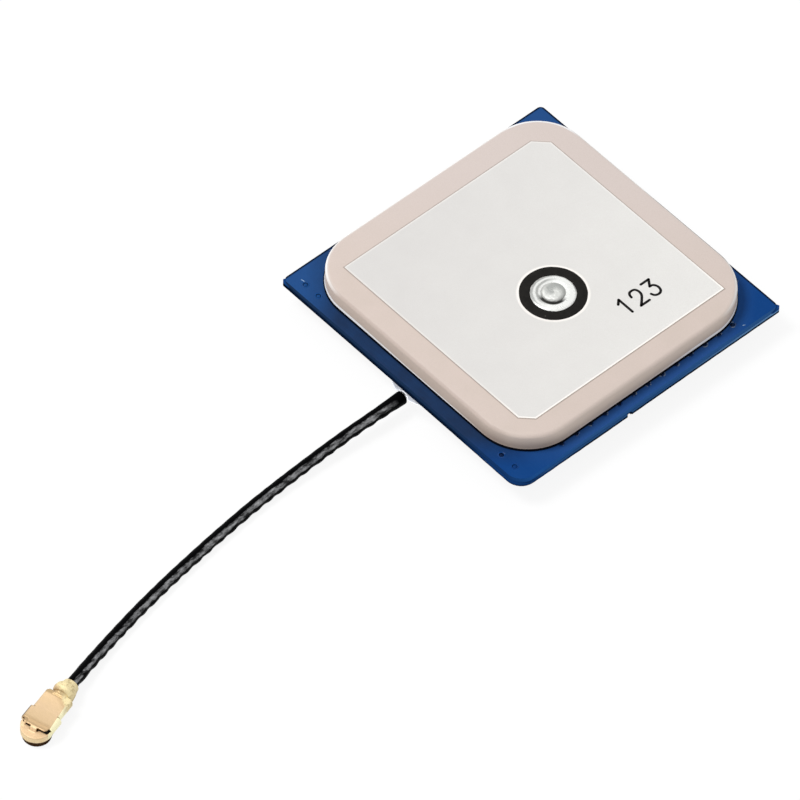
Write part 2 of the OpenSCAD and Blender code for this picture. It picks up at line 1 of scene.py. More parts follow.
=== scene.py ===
"""Looks of a square ceramic patch antenna with a short coaxial lead and a small push-on plug.

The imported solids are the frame. Each operator finishes one piece or a group of like pieces, and one
sets the stage. Places are in the frame of the solids, in metres: +Z is up, and the lead leaves over the
board's -Y edge. Typed lengths are in millimetres, and MM turns them into metres.
"""

import math

import bmesh
import bpy
from bpy.props import FloatProperty, FloatVectorProperty, PointerProperty
from mathutils import Matrix, Vector, noise


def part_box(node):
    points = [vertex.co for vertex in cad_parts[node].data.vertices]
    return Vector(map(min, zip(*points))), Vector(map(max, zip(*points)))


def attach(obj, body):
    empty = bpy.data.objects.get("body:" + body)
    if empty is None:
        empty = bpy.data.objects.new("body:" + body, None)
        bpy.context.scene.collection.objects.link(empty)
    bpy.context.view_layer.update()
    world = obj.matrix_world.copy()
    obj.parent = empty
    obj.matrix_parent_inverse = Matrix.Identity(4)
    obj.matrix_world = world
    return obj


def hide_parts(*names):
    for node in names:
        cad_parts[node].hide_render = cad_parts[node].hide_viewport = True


bl_info = {
    "name": "Patch antenna looks", "version": (1, 0, 0), "blender": (4, 5, 0),
    "location": "3D View > Sidebar > Antenna",
    "description": "Finishes a ceramic patch antenna, its lead and its plug", "category": "Object"
}

MM = 0.001
WHITE = (1, 1, 1, 1)
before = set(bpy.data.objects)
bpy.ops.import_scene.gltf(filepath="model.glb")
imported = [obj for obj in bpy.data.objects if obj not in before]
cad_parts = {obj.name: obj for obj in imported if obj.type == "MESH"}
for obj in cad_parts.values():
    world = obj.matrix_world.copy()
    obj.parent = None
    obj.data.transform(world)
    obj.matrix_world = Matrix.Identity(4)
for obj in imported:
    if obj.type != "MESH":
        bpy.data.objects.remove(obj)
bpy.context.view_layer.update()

# The camera: it stands off the near corner and looks down, through a long lens
SENSOR_MM = 36.0
PHOTO_PIXELS = 800
FOCAL_PIXELS = 10214.0
CAMERA_AZIMUTH = math.radians(46.317)
CAMERA_ELEVATION = math.radians(50.613)
CAMERA_ROLL = math.radians(2.058)
CAMERA_DISTANCE = 773.5 * MM
CAMERA_TARGET = Vector((1.36, -14.69, 2.8)) * MM

# The lead's middle line, as the solids have it, from the board to the plug
LEAD_START_Y = -13.72
LEAD_EXIT_X = 0.5
LEAD_HEIGHT = 1.505
LIE_HEIGHT = 0.49
PLUG_AT = (5.84, -54.875)
PLUG_TURN = math.radians(16)
PLUG_CORE_HEIGHT = 0.96
LEAD_IN_PLUG = 2.75
LEAD_BEHIND_PLUG = 5.05
LEAD_ROUTE = [
    (LEAD_EXIT_X, LEAD_START_Y, LEAD_HEIGHT), (LEAD_EXIT_X, -15, LEAD_HEIGHT), (0.45, -16.8, 1.42),
    (0.35, -18.6, 1.26), (0.27, -20.6, 1.05), (0.24, -22.6, 0.85), (0.25, -24.6, 0.69),
    (0.31, -26.6, 0.58), (0.44, -28.8, LIE_HEIGHT + 0.03), (0.66, -31, LIE_HEIGHT),
    (0.92, -33.2, LIE_HEIGHT), (1.22, -35.4, LIE_HEIGHT), (1.54, -37.6, LIE_HEIGHT),
    (1.91, -39.8, LIE_HEIGHT), (2.32, -42, LIE_HEIGHT), (2.78, -44.1, LIE_HEIGHT + 0.01),
    (3.28, -46.1, 0.58), (3.84, -48.1, 0.75)
]

# Where the black ring ends and the solder round the pin begins
RING_INNER = 1.78 * MM


def along_plug(y):
    """A point on the lead's middle line inside the plug, y millimetres behind the middle of its mouth."""
    return (PLUG_AT[0] - y * math.sin(PLUG_TURN), PLUG_AT[1] + y * math.cos(PLUG_TURN), PLUG_CORE_HEIGHT)


def paint(red, green, blue):
    """A colour as a screen shows it, in steps of 255, as the linear colour that shaders take."""
    def linear(step):
        share = step / 255
        return share / 12.92 if share <= 0.04045 else ((share + 0.055) / 1.055) ** 2.4

    return (linear(red), linear(green), linear(blue), 1.0)


class Signal:
    """One value in a node tree. Arithmetic on it adds Math nodes to the tree."""

    def __init__(self, wiring, socket):
        self.wiring = wiring
        self.socket = socket

    def math(self, operation, second=0.0):
        return self.wiring.math(operation, self, second)

    def __add__(self, other):
        return self.math("ADD", other)

    def __sub__(self, other):
        return self.math("SUBTRACT", other)

    def __rsub__(self, other):
        return self.wiring.math("SUBTRACT", other, self)

    def __mul__(self, other):
        return self.math("MULTIPLY", other)

    def __truediv__(self, other):
        return self.math("DIVIDE", other)

    def __rtruediv__(self, other):
        return self.wiring.math("DIVIDE", other, self)

    def __abs__(self):
        return self.math("ABSOLUTE")

    def spread(self, low, high, to_low=0.0, to_high=1.0):
        """The value, mapped from one range to another and held inside it."""
        inputs = {0: self, 1: low, 2: high, 3: to_low, 4: to_high}
        return self.wiring.node("ShaderNodeMapRange", inputs)[0]

    def ramp(self, low, high, to_low=0.0, to_high=1.0, base=0.0):
        """A place spread over a range that is given in millimetres from a base in metres."""
        return self.spread(base + low * MM, base + high * MM, to_low, to_high)

    def mix(self, first, second):
        """The first colour where the value is zero, the second where it is one."""
        return self.wiring.node("ShaderNodeMix", {0: self, 6: first, 7: second}, data_type="RGBA")[2]

    def vector(self, operation, other):
        """A vector, worked on by another vector, as the node of that operation."""
        return self.wiring.node("ShaderNodeVectorMath", {0: self, 1: other}, operation=operation)

    def axes(self):
        """The X, Y and Z of a vector."""
        parts = self.wiring.node("ShaderNodeSeparateXYZ", {0: self})
        return parts[0], parts[1], parts[2]


class Made:
    """A node in a tree. Its outputs are signals, found by number or name."""

    def __init__(self, wiring, node):
        self.wiring = wiring
        self.node = node

    def __getitem__(self, key):
        return Signal(self.wiring, self.node.outputs[key])

    def feed(self, inputs):
        """Gives inputs, by number or name, a signal or a fixed value."""
        for key, value in inputs.items():
            if isinstance(value, Signal):
                self.wiring.tree.links.new(value.socket, self.node.inputs[key])
            else:
                self.node.inputs[key].default_value = value


class Wiring:
    """Adds nodes to one node tree."""

    def __init__(self, tree):
        self.tree = tree

    def node(self, kind, inputs=None, **settings):
        made = Made(self, self.tree.nodes.new(kind))
        for name, value in settings.items():
            setattr(made.node, name, value)
        made.feed(inputs or {})
        return made

    def math(self, operation, first, second=0.0):
        return self.node("ShaderNodeMath", {0: first, 1: second}, operation=operation)[0]

    def noise(self, place, scale, detail, **more):
        inputs = {"Vector": place, "Scale": scale, "Detail": detail, **more}
        return self.node("ShaderNodeTexNoise", inputs)[0]

    def keep(self, geometry, label, value):
        """A node that gives the geometry, and after it a value kept from before its shape changes."""
        made = self.node("GeometryNodeCaptureAttribute", {0: geometry})
        made.node.capture_items.new("FLOAT", label)
        made.feed({1: value})
        return made


def emptied(owner):
    """The wiring of a material or a world, without the nodes it starts with."""
    owner.use_nodes = True
    owner.node_tree.nodes.clear()
    return Wiring(owner.node_tree)


SOCKET_KINDS = {
    float: "NodeSocketFloat", int: "NodeSocketInt", tuple: "NodeSocketVector",
    bpy.types.Material: "NodeSocketMaterial"
}


def add_inputs(tree, values):
    """Gives a tree an input socket for each value, of the kind of that value."""
    for label, value in values.items():
        tree.interface.new_socket(label, in_out="INPUT", socket_type=SOCKET_KINDS[type(value)])


def mottle_group(wiring, given):
    """Cloudy variation: a value between Low and High that wanders over Size."""
    cloud = wiring.noise(given["Place"], 1.0 / given["Size"], given["Detail"], Roughness=0.6)
    return cloud.spread(0.3, 0.7, given["Low"], given["High"])


def speck_group(wiring, given):
    """Small round specks, at most one in each cell of Size, in a Share of the cells."""
    scale = 1.0 / given["Size"]
    cells = wiring.node("ShaderNodeTexVoronoi", {"Vector": given["Place"], "Scale": scale})
    chance = wiring.node("ShaderNodeSeparateColor", {0: cells["Color"]})[0]
    radius = given["Radius"] * (chance / given["Share"] + 0.3)
    inside = cells["Distance"].spread(radius, radius * 0.5, 0.0, 1.0)
    return inside * chance.math("LESS_THAN", given["Share"])


def drawn_group(wiring, given):
    """Fine parallel streaks of drawn or rolled sheet: a height, long in X and short across it."""
    fine = 1.0 / given["Width"]
    stretch = wiring.node("ShaderNodeCombineXYZ", {0: 1.0 / given["Length"], 1: fine, 2: fine})[0]
    return wiring.noise(given["Place"].vector("MULTIPLY", stretch)[0], 1.0, 3.0)


def face_inset_group(wiring, given):
    """How far a place lies inside the outline of the silver face, which has two cut corners."""
    x, y, _ = given["Place"].vector("SUBTRACT", given["Middle"])[0].axes()
    sides = (given["Half X"] - abs(x)).math("MINIMUM", given["Half Y"] - abs(y))
    span = given["Half X"] + given["Half Y"]
    lean = x - y
    near = span - given["Near cut"] - lean
    far = span - given["Far cut"] + lean
    return sides.math("MINIMUM", near.math("MINIMUM", far) * math.sqrt(0.5))


# What each shared shader group needs besides a place, and what builds it
NUMBER = 0.0
GROUPS = {
    "mottle": (mottle_group, {"Size": NUMBER, "Low": NUMBER, "High": NUMBER, "Detail": NUMBER}),
    "specks": (speck_group, {"Size": NUMBER, "Radius": NUMBER, "Share": NUMBER}),
    "drawn_streaks": (drawn_group, {"Length": NUMBER, "Width": NUMBER}),
    "face_inset": (
        face_inset_group,
        {"Middle": (0, 0, 0), "Half X": NUMBER, "Half Y": NUMBER, "Near cut": NUMBER, "Far cut": NUMBER}
    )
}


def shared(name):
    """A shader group, built when it is first asked for."""
    known = bpy.data.node_groups.get(name)
    if known:
        return known
    build, values = GROUPS[name]
    tree = bpy.data.node_groups.new(name, "ShaderNodeTree")
    add_inputs(tree, {"Place": (0, 0, 0), **values})
    tree.interface.new_socket("Value", in_out="OUTPUT", socket_type="NodeSocketFloat")
    wiring = Wiring(tree)
    given = wiring.node("NodeGroupInput")
    wiring.node("NodeGroupOutput").feed({0: build(wiring, given)})
    return tree


class Finish:
    """One material: a wiring with a Principled shader at its end."""

    def __init__(self, name, metallic=0.0, **fixed):
        self.material = bpy.data.materials.new(name)
        self.wiring = emptied(self.material)
        self.shader = self.wiring.node("ShaderNodeBsdfPrincipled")
        self.wiring.node("ShaderNodeOutputMaterial", {0: self.shader[0]})
        self.set(Metallic=metallic, **fixed)
        self.place = self.wiring.node("ShaderNodeTexCoord")["Object"]

    def set(self, **sockets):
        self.shader.feed({name.replace("_", " "): value for name, value in sockets.items()})

    def pattern(self, name, **inputs):
        """The value of a shared shader group at each place."""
        made = self.wiring.node("ShaderNodeGroup", node_tree=shared(name))
        made.feed({"Place": self.place})
        made.feed({label.replace("_", " "): value for label, value in inputs.items()})
        return made[0]

    def mottle(self, size, low=0.0, high=1.0, detail=4.0):
        """Clouds of a size in millimetres, with values between low and high."""
        return self.pattern("mottle", Size=size * MM, Low=low, High=high, Detail=detail)

    def specks(self, size, radius, share):
        return self.pattern("specks", Size=size * MM, Radius=radius, Share=share)

    def streaks(self, length, width):
        return self.pattern("drawn_streaks", Length=length * MM, Width=width * MM)

    def bump(self, height, depth):
        """A relief whose full height is a depth in millimetres."""
        inputs = {"Strength": 1.0, "Distance": depth * MM, "Height": height}
        self.set(Normal=self.wiring.node("ShaderNodeBump", inputs)[0])


# Finishes with no pattern of their own: two colours, least and most roughness, size of the clouds
# and depth of the grain in millimetres, and how metallic
PLAIN_FINISHES = {
    "under_silver": ((214, 212, 208), (226, 224, 220), (0.4, 0.6), 1.0, 0.004, 0.6),
    "adhesive": ((44, 46, 50), (58, 60, 66), (0.4, 0.6), 0.5, 0.006, 0.0),
    # The glue's near black also stands for the contact shadow at the ceramic's foot: painted shade
    "glue": ((3, 5, 12), (8, 12, 26), (0.4, 0.6), 0.5, 0.01, 0.0),
    "copper_land": ((214, 178, 96), (228, 196, 120), (0.25, 0.42), 0.6, 0.004, 0.9),
    # The pale colour of the painted glints on the mask
    "glint_mask": ((110, 150, 196), (176, 204, 230), (0.4, 0.6), 0.2, 0.002, 0.0),
    "ink": ((12, 11, 11), (28, 26, 25), (0.5, 0.7), 0.3, 0.003, 0.0),
    "dull_solder": ((190, 198, 190), (214, 220, 212), (0.28, 0.5), 0.4, 0.012, 0.75),
    "pale_solder": ((240, 244, 254), (250, 252, 255), (0.4, 0.55), 0.6, 0.001, 0.5),
    "moulding": ((34, 34, 36), (46, 46, 48), (0.5, 0.7), 0.3, 0.01, 0.0),
    "saw_package": ((206, 184, 130), (220, 202, 156), (0.3, 0.45), 0.5, 0.004, 0.8),
    "capacitors_body": ((178, 138, 98), (194, 158, 118), (0.4, 0.6), 0.3, 0.006, 0.0),
    "resistors_body": ((36, 36, 40), (50, 50, 54), (0.4, 0.6), 0.3, 0.006, 0.0),
    "inductors_body": ((116, 122, 130), (134, 140, 146), (0.4, 0.6), 0.3, 0.006, 0.0),
    "plug_moulding": ((30, 30, 32), (42, 42, 44), (0.45, 0.6), 0.3, 0.006, 0.0),
    "contact_gold": ((226, 188, 104), (238, 206, 132), (0.2, 0.35), 0.3, 0.003, 0.95),
    "braid": ((188, 188, 184), (150, 150, 148), (0.3, 0.5), 0.12, 0.02, 0.9),
    "dielectric": ((238, 236, 230), (228, 226, 220), (0.4, 0.5), 0.4, 0.004, 0.0),
    "lead_core": ((206, 162, 108), (222, 186, 140), (0.25, 0.4), 0.2, 0.004, 0.95)
}


def plain_finish(name, **fixed):
    """A material whose colour and roughness wander over the size of its clouds, with a fine grain."""
    first, second, roughness, size, depth, metallic = PLAIN_FINISHES[name]
    finish = Finish(name, metallic, **fixed)
    finish.set(
        Base_Color=finish.mottle(size).mix(paint(*first), paint(*second)),
        Roughness=finish.mottle(size * 0.7, *roughness)
    )
    finish.bump(finish.mottle(size * 0.12, 0.0, 1.0, 6.0), depth)
    return finish.material


def linked_object(name, data):
    made = bpy.data.objects.new(name, data)
    bpy.context.scene.collection.objects.link(made)
    return made


def new_piece(name, mesh, material, replaces=()):
    """An object for a finished mesh, riding on the antenna's only body."""
    piece = linked_object(name, mesh)
    mesh.materials.clear()
    mesh.materials.append(material)
    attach(piece, "root")
    if replaces:
        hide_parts(*replaces)
    return piece


def give_finish(material, *nodes):
    """Nodes of the frame keep their shape and take a material."""
    for node in nodes:
        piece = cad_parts[node]
        piece.data.materials.clear()
        piece.data.materials.append(material)


def mesh_from(name, form, smooth_angle=40):
    """A mesh from a bmesh, with closed doubles, outward faces and smooth shading up to an angle."""
    bmesh.ops.remove_doubles(form, verts=form.verts, dist=1e-8)
    bmesh.ops.recalc_face_normals(form, faces=form.faces)
    mesh = bpy.data.meshes.new(name)
    form.to_mesh(mesh)
    form.free()
    mesh.shade_smooth()
    mesh.set_sharp_from_angle(angle=math.radians(smooth_angle))
    return mesh


def loft(form, rings, closed=False):
    """Quads between rings of as many points each; closed joins the last ring to the first."""
    made = [[form.verts.new(point) for point in ring] for ring in rings]
    pairs = list(zip(made, made[1:])) + ([(made[-1], made[0])] if closed else [])
    for lower, upper in pairs:
        for k, corner in enumerate(lower):
            after = (k + 1) % len(lower)
            form.faces.new((corner, lower[after], upper[after], upper[k]))
    return made


def rounded_outline(middle, half, radii, z, arc_steps, side_steps):
    """Points round a rectangle, anticlockwise; each of its corners has its own radius."""
    arcs = []
    for turn, radius in enumerate(radii):
        start = turn * math.pi / 2
        side = 1 if turn in (0, 3) else -1
        end = 1 if turn < 2 else -1
        centre = Vector((side * (half[0] - radius), end * (half[1] - radius)))
        angles = [start + k / arc_steps * math.pi / 2 for k in range(arc_steps + 1)]
        arcs.append([centre + radius * Vector((math.cos(a), math.sin(a))) for a in angles])
    points = []
    for arc, following in zip(arcs, arcs[1:] + arcs[:1]):
        points += arc[:-1]
        points += [arc[-1].lerp(following[0], k / side_steps) for k in range(side_steps)]
    return [Vector((middle.x + p.x, middle.y + p.y, z)) for p in points]


def circle_facing(points, middle, radius, z):
    """Points on a circle in the directions of the given points, seen from its middle."""
    ring = []
    for point in points:
        way = Vector((point.x - middle.x, point.y - middle.y)).normalized() * radius
        ring.append(Vector((middle.x + way.x, middle.y + way.y, z)))
    return ring


def smooth_route(points, steps):
    """A curve through the points, with steps stretches between each two of them."""
    places = [Vector(point) for point in points]
    ends = [places[0] * 2 - places[1], *places, places[-1] * 2 - places[-2]]
    made = []
    for k in range(len(places) - 1):
        a, b, c, d = ends[k:k + 4]
        for step in range(steps):
            t = step / steps
            bent = (2 * a - 5 * b + 4 * c - d) * t * t
            twisted = (3 * b - a - 3 * c + d) * t ** 3
            made.append(0.5 * (2 * b + (c - a) * t + bent + twisted))
    return [*made, places[-1]]


def line_object(name, lines):
    """A curve object of straight-stretched lines, for a node tree to sweep."""
    curve = bpy.data.curves.new(name, "CURVE")
    curve.dimensions = "3D"
    for points in lines:
        spline = curve.splines.new("POLY")
        spline.points.add(len(points) - 1)
        for target, point in zip(spline.points, points):
            target.co = (*point, 1.0)
    return linked_object(name, curve)


def points_object(name, places):
    """A mesh object of loose points, for a node tree to set copies on."""
    mesh = bpy.data.meshes.new(name)
    mesh.from_pydata(places, [], [])
    return linked_object(name, mesh)


def run_tree(name, build, carrier, material, values):
    """The plain mesh that a new geometry tree makes from a carrier object, which is then removed.

    The values are the tree's inputs. build takes the wiring and those inputs and gives the geometry.
    """
    tree = bpy.data.node_groups.new(name, "GeometryNodeTree")
    values = {**values, "Material": material}
    for way in ("INPUT", "OUTPUT"):
        tree.interface.new_socket("Geometry", in_out=way, socket_type="NodeSocketGeometry")
    add_inputs(tree, values)
    wiring = Wiring(tree)
    given = wiring.node("NodeGroupInput")
    real = wiring.node("GeometryNodeRealizeInstances", {0: build(wiring, given)})
    finished = wiring.node("GeometryNodeSetMaterial", {0: real[0], "Material": given["Material"]})
    wiring.node("NodeGroupOutput").feed({0: finished[0]})
    modifier = carrier.modifiers.new("shape", "NODES")
    modifier.node_group = tree
    for item in tree.interface.items_tree:
        if item.name in values:
            modifier[item.identifier] = values[item.name]
    return evaluated_mesh(carrier, name)


def evaluated_mesh(carrier, name):
    """The plain mesh that a carrier's modifiers make. The carrier is then removed."""
    bpy.context.view_layer.update()
    seen = carrier.evaluated_get(bpy.context.evaluated_depsgraph_get())
    mesh = bpy.data.meshes.new_from_object(seen)
    mesh.name = name
    bpy.data.objects.remove(carrier)
    return mesh


def even_line(wiring, given):
    """The carrier's lines, in stretches of one length."""
    inputs = {"Curve": given["Geometry"], "Length": given["Step"]}
    return wiring.node("GeometryNodeResampleCurve", inputs, mode="LENGTH")[0]


def sweep(wiring, line, section, **more):
    """The geometry of a section that runs along a line."""
    inputs = {"Curve": line, "Profile Curve": section, **more}
    return wiring.node("GeometryNodeCurveToMesh", inputs)[0]


def circle(wiring, sides, radius):
    inputs = {"Resolution": sides, "Radius": radius}
    return wiring.node("GeometryNodeCurvePrimitiveCircle", inputs)[0]


def oblong(wiring, width, height):
    inputs = {"Width": width, "Height": height}
    return wiring.node("GeometryNodeCurvePrimitiveQuadrilateral", inputs)[0]


def lead_tree(wiring, given):
    """Sweeps a round jacket along a line; the strands below press soft ripples into its low side."""
    along = wiring.node("GeometryNodeSplineParameter")
    kept_line = wiring.keep(even_line(wiring, given), "Along", along["Length"])
    section = circle(wiring, given["Sides"], given["Radius"])
    kept_section = wiring.keep(section, "Around", along["Factor"])
    tube = sweep(wiring, kept_line[0], kept_section[0], **{"Fill Caps": True})
    normal = wiring.node("GeometryNodeInputNormal")[0]
    # How far each point faces the way of the jacket's painted highlight band
    facing = normal.vector("DOT_PRODUCT", given["Highlight way"])["Value"]
    rippled = normal.vector("DOT_PRODUCT", given["Rippled way"])["Value"]
    from_end = kept_line[1]
    turns = from_end / given["Twist pitch"]
    uneven = wiring.noise(wiring.node("GeometryNodeInputPosition")[0], 700.0, 2.0)
    swing = turns + kept_section[1] * 0.5 + uneven * 0.9
    spiral = (swing * (2 * math.pi)).math("SINE")
    share = from_end.spread(0.0005, 0.002) * rippled.spread(0.2, 0.9, 0.2, 1.0)
    depth = (spiral - 0.8) * share * given["Ripple"]
    fading = (from_end / given["Flare length"] * -1.0).math("EXPONENT")
    swell = fading * given["Flare"] * given["Radius"]
    offset = wiring.node("ShaderNodeVectorMath", {0: normal, "Scale": depth + swell}, operation="SCALE")
    woven = wiring.node("ShaderNodeCombineXYZ", {0: kept_section[1], 1: turns, 2: facing})
    named = wiring.node(
        "GeometryNodeStoreNamedAttribute", {"Geometry": tube, "Name": "jacket_place", "Value": woven[0]},
        data_type="FLOAT_VECTOR", domain="POINT"
    )
    return wiring.node("GeometryNodeSetPosition", {"Geometry": named[0], "Offset": offset[0]})[0]


def bead_tree(wiring, given):
    """Squeezes an uneven bead of glue out along a closed line."""
    lumps = wiring.noise(wiring.node("GeometryNodeInputPosition")[0], 700.0, 3.0)
    radius = given["Radius"] + (lumps - 0.5) * given["Unevenness"]
    return sweep(wiring, even_line(wiring, given), circle(wiring, 8, 1.0), Scale=radius)


def copies_on_points(wiring, given, instance, **more):
    inputs = {"Points": given["Geometry"], "Instance": instance, **more}
    return wiring.node("GeometryNodeInstanceOnPoints", inputs)[0]


def dome_tree(wiring, given):
    """Fills each via with a low dome of mask."""
    inputs = {"Segments": 14, "Rings": 8, "Radius": given["Radius"]}
    ball = wiring.node("GeometryNodeMeshUVSphere", inputs)
    flat = wiring.node("ShaderNodeCombineXYZ", {0: 1.0, 1: 1.0, 2: given["Flatness"]})
    return copies_on_points(wiring, given, ball[0], Scale=flat[0])


def ring_tree(wiring, given):
    """Sets a flat ring, with eased corners, on each point of the carrier."""
    eased = wiring.node(
        "GeometryNodeFilletCurve",
        {
            "Curve": oblong(wiring, given["Width"], given["Height"]), "Count": 2, "Limit Radius": True,
            "Radius": given["Height"] * 0.4
        },
        mode="POLY"
    )
    ring = sweep(wiring, circle(wiring, given["Sides"], given["Radius"]), eased[0])
    return copies_on_points(wiring, given, ring)


def stroke_tree(wiring, given):
    """Sweeps a flat ink stroke along each line of the carrier, with round ends."""
    section = oblong(wiring, given["Width"], given["Thickness"])
    flat = wiring.node("GeometryNodeSetCurveNormal", {0: even_line(wiring, given)}, mode="Z_UP")
    stroke = sweep(wiring, flat[0], section, **{"Fill Caps": True})
    inputs = {"Vertices": 24, "Radius": given["Width"] * 0.5, "Depth": given["Thickness"]}
    dot = wiring.node("GeometryNodeMeshCylinder", inputs)
    ends = wiring.node("GeometryNodeCurveEndpointSelection", {0: 1, 1: 1})
    dots = copies_on_points(wiring, given, dot[0], Selection=ends[0])
    joined = wiring.node("GeometryNodeJoinGeometry")
    joined.feed({0: stroke})
    joined.feed({0: dots})
    return joined[0]


def length(description, default_mm, low=0.001, high=40.0):
    """A length in metres, given in millimetres."""
    return FloatProperty(
        description=description, default=default_mm * MM, min=low * MM, max=high * MM, precision=5,
        unit="LENGTH"
    )


def tint(description, red, green, blue):
    """A colour, given in steps of 255."""
    return FloatVectorProperty(
        description=description, default=paint(red, green, blue), size=4, min=0.0, max=1.0,
        subtype="COLOR"
    )


class StageSettings(bpy.types.PropertyGroup):
    key_power: FloatProperty(description="Power of the soft lamp above", default=1.3, unit="POWER")
    key_side: length("Side of the square lamp", 170, 50, 1000)
    surround: FloatProperty(description="How bright the room is on the object", default=0.55)
    floor_colour: tint("Colour of the floor", 226, 226, 226)


class LeadSettings(bpy.types.PropertyGroup):
    diameter: length("Diameter over the jacket", 0.98)
    ripple: length("Depth of the twist that shows through", 0.036, 0.0, 0.1)
    pitch: length("Length of one turn of the twist", 1.3)
    flare: FloatProperty(description="Swelling of the jacket's end at the board", default=0.16)
    colour: tint("Colour of the jacket", 2, 2, 3)
    # The grey on the jacket's upper side is a painted highlight
    highlit: tint("Colour of the jacket's rubbed upper side", 172, 173, 175)


class CeramicSettings(bpy.types.PropertyGroup):
    edge: length("Radius of the fired top edge", 0.35)
    foot: length("Size of the small break at the foot", 0.06)
    bead: length("Radius of the glue squeezed out at the foot", 0.115)
    colour: tint("Colour of the fired ceramic", 218, 203, 193)
    cloud: tint("Second colour, in soft clouds", 223, 207, 198)
    far_colour: tint("Colour of the ceramic at its far side", 222, 209, 203)
    # The walls' colour is lighter than the top's: painted light
    wall_colour: tint("Colour of the ceramic's upright walls", 232, 215, 200)
    # The pale band round the foot is a painted highlight
    foot_colour: tint("Pale rubbed band round the foot", 255, 254, 254)


class SilverSettings(bpy.types.PropertyGroup):
    near_cut: length("Cut of the silver's corner by the lead", 0.95)
    far_cut: length("Cut of the opposite corner", 1.1)
    rim: length("Width of the bright rim", 0.16)
    colour: tint("Colour of the fired silver", 219, 217, 215)
    pale_colour: tint("Colour of the silver by the digits", 235, 234, 231)
    # The bright rim is a painted highlight
    rim_highlight_colour: tint("Colour of the bright rim", 255, 251, 246)


class FeedSettings(bpy.types.PropertyGroup):
    puddle_height: length("Height of the solder's crest", 0.2)
    ring_colour: tint("Colour of the printed ring", 18, 17, 15)
    solder_colour: tint("Colour of bright solder", 246, 247, 244)
    # The solder's grey arcs are painted dark reflections
    dark_reflection_colour: tint("Colour of solder that has set dull", 168, 169, 166)
    pin_colour: tint("Colour of the pin's head", 172, 174, 171)


class BoardSettings(bpy.types.PropertyGroup):
    mask_colour: tint("Colour of the board's mask", 15, 64, 129)
    far_mask_colour: tint("Colour of the mask at the board's far side", 40, 80, 137)
    # The colours by the lead and on the +X side are painted shade and painted light
    strip_colour: tint("Colour of the mask by the lead", 32, 49, 79)
    bright_colour: tint("Colour of the mask on the +X side", 41, 80, 142)
    # The dark band along the side's foot is partly painted shade
    cut_and_shade_colour: tint("Colour of the cut along the side's foot", 12, 30, 56)
    web: length("Most that the snapped web stands out of the side", 0.12, 0.0, 0.4)
    via_ring: length("Radius of the copper round a via", 0.26)
    via_inset: length("From a board edge to its row of vias", 0.9)
    via_pitch: length("Spacing of the vias", 1.48)


class DigitSettings(bpy.types.PropertyGroup):
    height: length("Height of a digit's pen line", 1.56)
    width: length("Width of a digit's pen line", 0.9)
    stroke: length("Width of the pen line", 0.21)


class PlugSettings(bpy.types.PropertyGroup):
    colour: tint("Colour of the gold on the cap", 224, 194, 152)
    # The upright side's lighter colour is painted light
    side_colour: tint("Colour of the gold on the cap's upright side", 240, 214, 166)
    lid_colour: tint("Colour of the gold on the lid", 220, 192, 152)
    # The palest colour, on the right wing, is painted light
    wing_colour: tint("Colour where the gold is palest", 254, 249, 208)
    worn_colour: tint("Colour of the gold on the crimp", 238, 222, 176)
    waves: length("How far the thin sheet strays from true", 0.02, 0.0, 0.1)
    dimple: length("Depth of the dimples of the crimp", 0.05, 0.0, 0.1)
    drawn: length("How far the lid is drawn out over the neck", 0.5, 0.0, 1.0)


